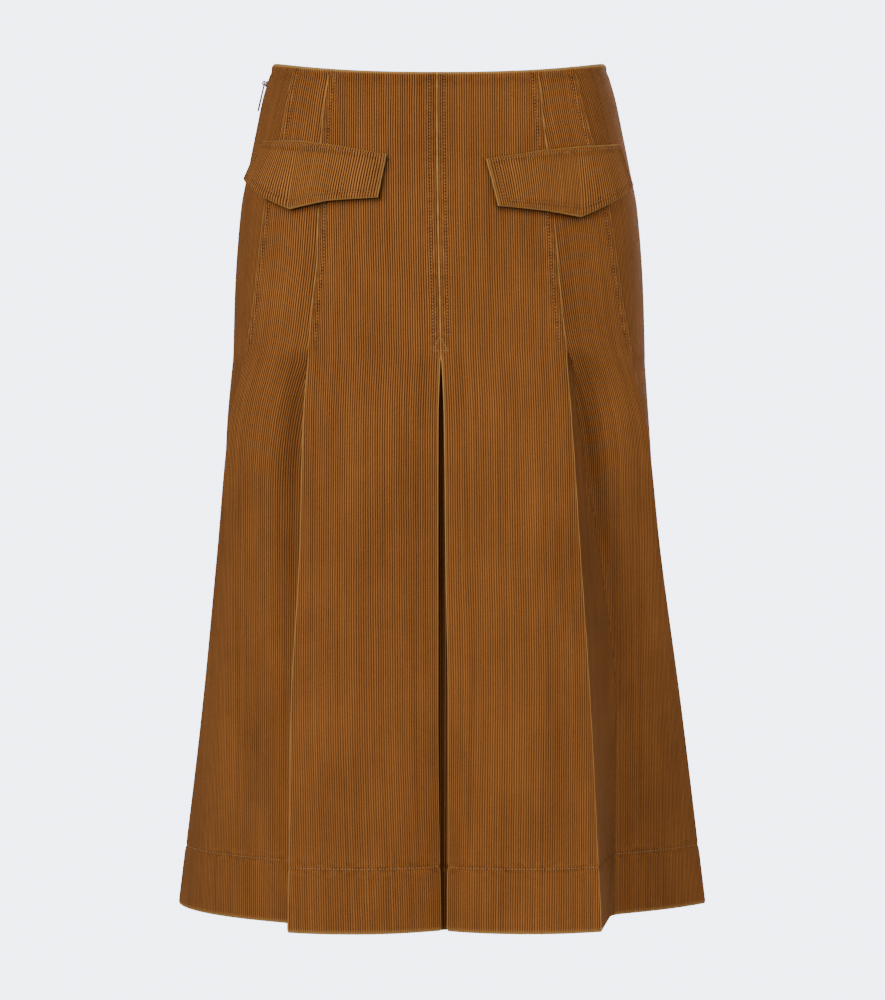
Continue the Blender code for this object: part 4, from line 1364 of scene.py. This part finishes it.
# The studio: how bright its pale backdrop is, and how it lights the skirt from all round. The floor is
# FLOOR_DROP under the waist, and the camera stands about level with the skirt's middle.
BACKDROP = (4.90, 5.05, 6.00)
AMBIENT = (0.345, 0.35, 0.365)
FLOOR_DROP, FLOOR_CELLS, FLOOR_SIZE = 0.86, 8, 14.0
CAMERA_PLACE, CAMERA_TARGET, CAMERA_LENS = (0.0028, -2.7, -0.361), (0.0028, 0.0, -0.361), 116.93
CAMERA_SENSOR = 36.0
LIT_MIDDLE = (0.0, 0.0, -0.33)
Lamp = namedtuple("Lamp", "name place size power")
LAMPS = (
    Lamp("key", (-1.5, -2.3, 0.20), 0.6, 43.5),
    Lamp("fill", (1.9, -2.0, -0.1), 1.6, 28.0),
    Lamp("back", (1.3, 2.5, 0.7), 1.4, 54.0),
)


def aimed(name, data, place, target):
    """Stands a camera or a lamp at its place and turns it to its target."""
    holder = bpy.data.objects.new(name, data)
    bpy.context.scene.collection.objects.link(holder)
    holder.location = place
    holder.rotation_euler = (Vector(target) - Vector(place)).to_track_quat("-Z", "Y").to_euler()
    return holder


def soft_light(lamp):
    light = bpy.data.lights.new(lamp.name, "AREA")
    light.shape = "RECTANGLE"
    light.size = light.size_y = lamp.size
    light.energy = lamp.power
    aimed(lamp.name, light, lamp.place, LIT_MIDDLE)


def studio():
    """A plain pale studio: seen at its full brightness, and lighting the skirt softly."""
    world = bpy.data.worlds.new("studio")
    bpy.context.scene.world = world
    world.use_nodes = True
    nodes = Nodes(world.node_tree)
    seen = nodes.add("LightPath", {}, output="Is Camera Ray")
    lit, shown = nodes.add("Background", {}, AMBIENT), nodes.add("Background", {}, BACKDROP)
    mixed = nodes.add("MixShader", {}, seen, lit, shown)
    nodes.feed(nodes.tree.nodes["World Output"].inputs["Surface"], mixed)
    ground = bmesh.new()
    bmesh.ops.create_grid(ground, x_segments=FLOOR_CELLS, y_segments=FLOOR_CELLS, size=FLOOR_SIZE)
    bmesh.ops.translate(ground, vec=(0.0, 0.0, -FLOOR_DROP), verts=ground.verts)
    floor = finished("floor", ground, pale_ground("pale_ground"), smooth_faces=False)
    floor.visible_diffuse = False
    floor.visible_glossy = False
    camera = bpy.data.cameras.new("camera")
    camera.lens = CAMERA_LENS
    camera.sensor_width = CAMERA_SENSOR
    bpy.context.scene.camera = aimed("camera", camera, CAMERA_PLACE, CAMERA_TARGET)
    for lamp in LAMPS:
        soft_light(lamp)


def cords():
    """The corduroy of each side's gores and flap, as lit and shaded copies of one cloth: painted light and
    shade, as the light catches its pile there.
    """
    near = corduroy("near_corduroy", RIB, top=1.02)
    side = corduroy("side_corduroy", RIB, pitch=0.00200, contrast=0.66, wavy=0.0024)
    return {
        RIGHT: {
            "main": corduroy("tan_corduroy", (0.455, 0.167, 0.0385)),
            "flank": corduroy("wide_corduroy", RIB, pitch=0.00218, wavy=0.0015),
            "side": side,
            "flap": corduroy("flap_corduroy", (0.520, 0.197, 0.045), pitch=0.0021, contrast=1.10),
        },
        LEFT: {
            "main": near,
            "flank": near,
            "side": side,
            "flap": corduroy("near_flap_corduroy", (0.505, 0.192, 0.044), contrast=0.82),
        },
    }


# The length, width and height of a stitch in a seam, of the pit it makes in the pile, drawn as a dark blob of
# painted shade, and of one in the hem.
SEAM_STITCH = (0.0016, 0.00062, 0.00048)
STITCH_PIT = (0.0011, 0.00110, 0.00030)
HEM_STITCH = (0.0021, 0.00066, 0.00052)


class Sewing:
    """The skirt's stitches: along its seams, the pits they make in the pile as dark blobs of painted shade,
    and the hem's longer ones.
    """

    def __init__(self):
        self.seams = Copies(thread_shape(*SEAM_STITCH))
        self.pits = Copies(thread_shape(*STITCH_PIT))
        self.hems = Copies(thread_shape(*HEM_STITCH))

    def down(self, line):
        """Sets stitches along a line, with the small pit in the pile where each one goes through as a dark
        blob of painted shade.
        """
        sew(self.seams, line, STITCH_PITCH)
        sew(self.pits, line, STITCH_PITCH, start=1.0)

    def pieces(self):
        tan = thread("tan_thread", (0.34, 0.150, 0.050), (0.60, 0.320, 0.120))
        # The pits' near-black thread is painted shade in the holes of the pile.
        pit = thread("pit_brown", (0.030, 0.009, 0.003), (0.070, 0.022, 0.007))
        pale = thread("pale_thread", (0.30, 0.145, 0.055), (0.56, 0.32, 0.14))
        return [
            self.seams.piece("look_seam_stitches", tan, "corduroy"),
            self.pits.piece("look_stitch_pits", pit, "corduroy"),
            self.hems.piece("look_hem_stitches", pale, "corduroy"),
        ]


# The gores in front and behind, from the middle to the side, and the last stitches of a gore's two seams.
GORES = {"main": ("front", "back"), "flank": ("side_front", "side_back"), "side": ("side_fore", "side_aft")}
FIRST_SEAM_END, LAST_SEAM_END = -0.233, -0.236

# The small pits along the seam over the zip, dark blobs of painted shade: how far from it they are, and where
# they end and start.
ZIP_PIT_INSET, ZIP_PIT_END, ZIP_PIT_TOP, ZIP_PIT_LIFT = 0.0012, -0.033, -0.0015, 0.0002


def sewn_gore(stem, side, front, which, material, sewing):
    cloth = gore(stem + ("_right" if side == RIGHT else "_left"), side, front, which)
    cloth.build(WALL, material, "corduroy")
    if which != "side":
        sewing.down(cloth.line_down("last", STITCH_INSET, LAST_SEAM_END))
    if which == "main":
        sewing.down(cloth.line_down("first", STITCH_INSET, FIRST_SEAM_END))
    sew(sewing.hems, cloth.line_across(HEM_LINE), HEM_PITCH)
    return cloth


def main():
    cord = cords()
    # The underlay is a darker copy of the same corduroy: painted shade behind the pleat.
    under = corduroy("underlay_corduroy", (0.360, 0.138, 0.036), (0.060, 0.018, 0.005), (0.40, 0.19, 0.06))
    sewing = Sewing()
    sheets = []
    for side in (RIGHT, LEFT):
        for which, pair in GORES.items():
            for front, stem in zip((True, False), pair):
                sheets.append(sewn_gore(stem, side, front, which, cord[side][which], sewing))
    for name, front in (("front_underlay", True), ("back_underlay", False)):
        sheets.append(underlay(name, front))
        sheets[-1].build(WALL, under, "underlay")
    for name, side in (("flap_right", RIGHT), ("flap_left", LEFT)):
        piece, size = flap(name, side, cord[side]["flap"])
        sew(sewing.seams, flap_line(side, size, FLAP_STITCH_INSET, "round"), STITCH_PITCH)
        sewing.down(flap_line(side, size, FLAP_TOP_INSET, "top"))
    for front in (True, False):
        sew(sewing.hems, tack_line(front), TACK_PITCH)
    by_name = {cloth.name: cloth for cloth in sheets}
    over_zip = by_name["side_fore_right"].line_down("last", ZIP_PIT_INSET, ZIP_PIT_END, ZIP_PIT_TOP)
    sew(sewing.pits, over_zip, STITCH_PITCH, ZIP_PIT_LIFT)
    stitches = sewing.pieces()
    for cloth in sheets:
        cloth.declare(*(stitches if cloth.name == "front_left" else ()))
    tape = woven("brown_tape", (0.050, 0.020, 0.007), (0.125, 0.055, 0.020))
    zip_tape("zip_tape_fore", True, tape)
    zip_tape("zip_tape_aft", False, tape)
    zip_teeth(antique_brass("antique_brass"))
    enamel = brown_enamel("brown_enamel")
    for name in ("zip_slider", "zip_pull"):
        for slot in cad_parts[name].material_slots:
            slot.material = enamel
    studio()


main()
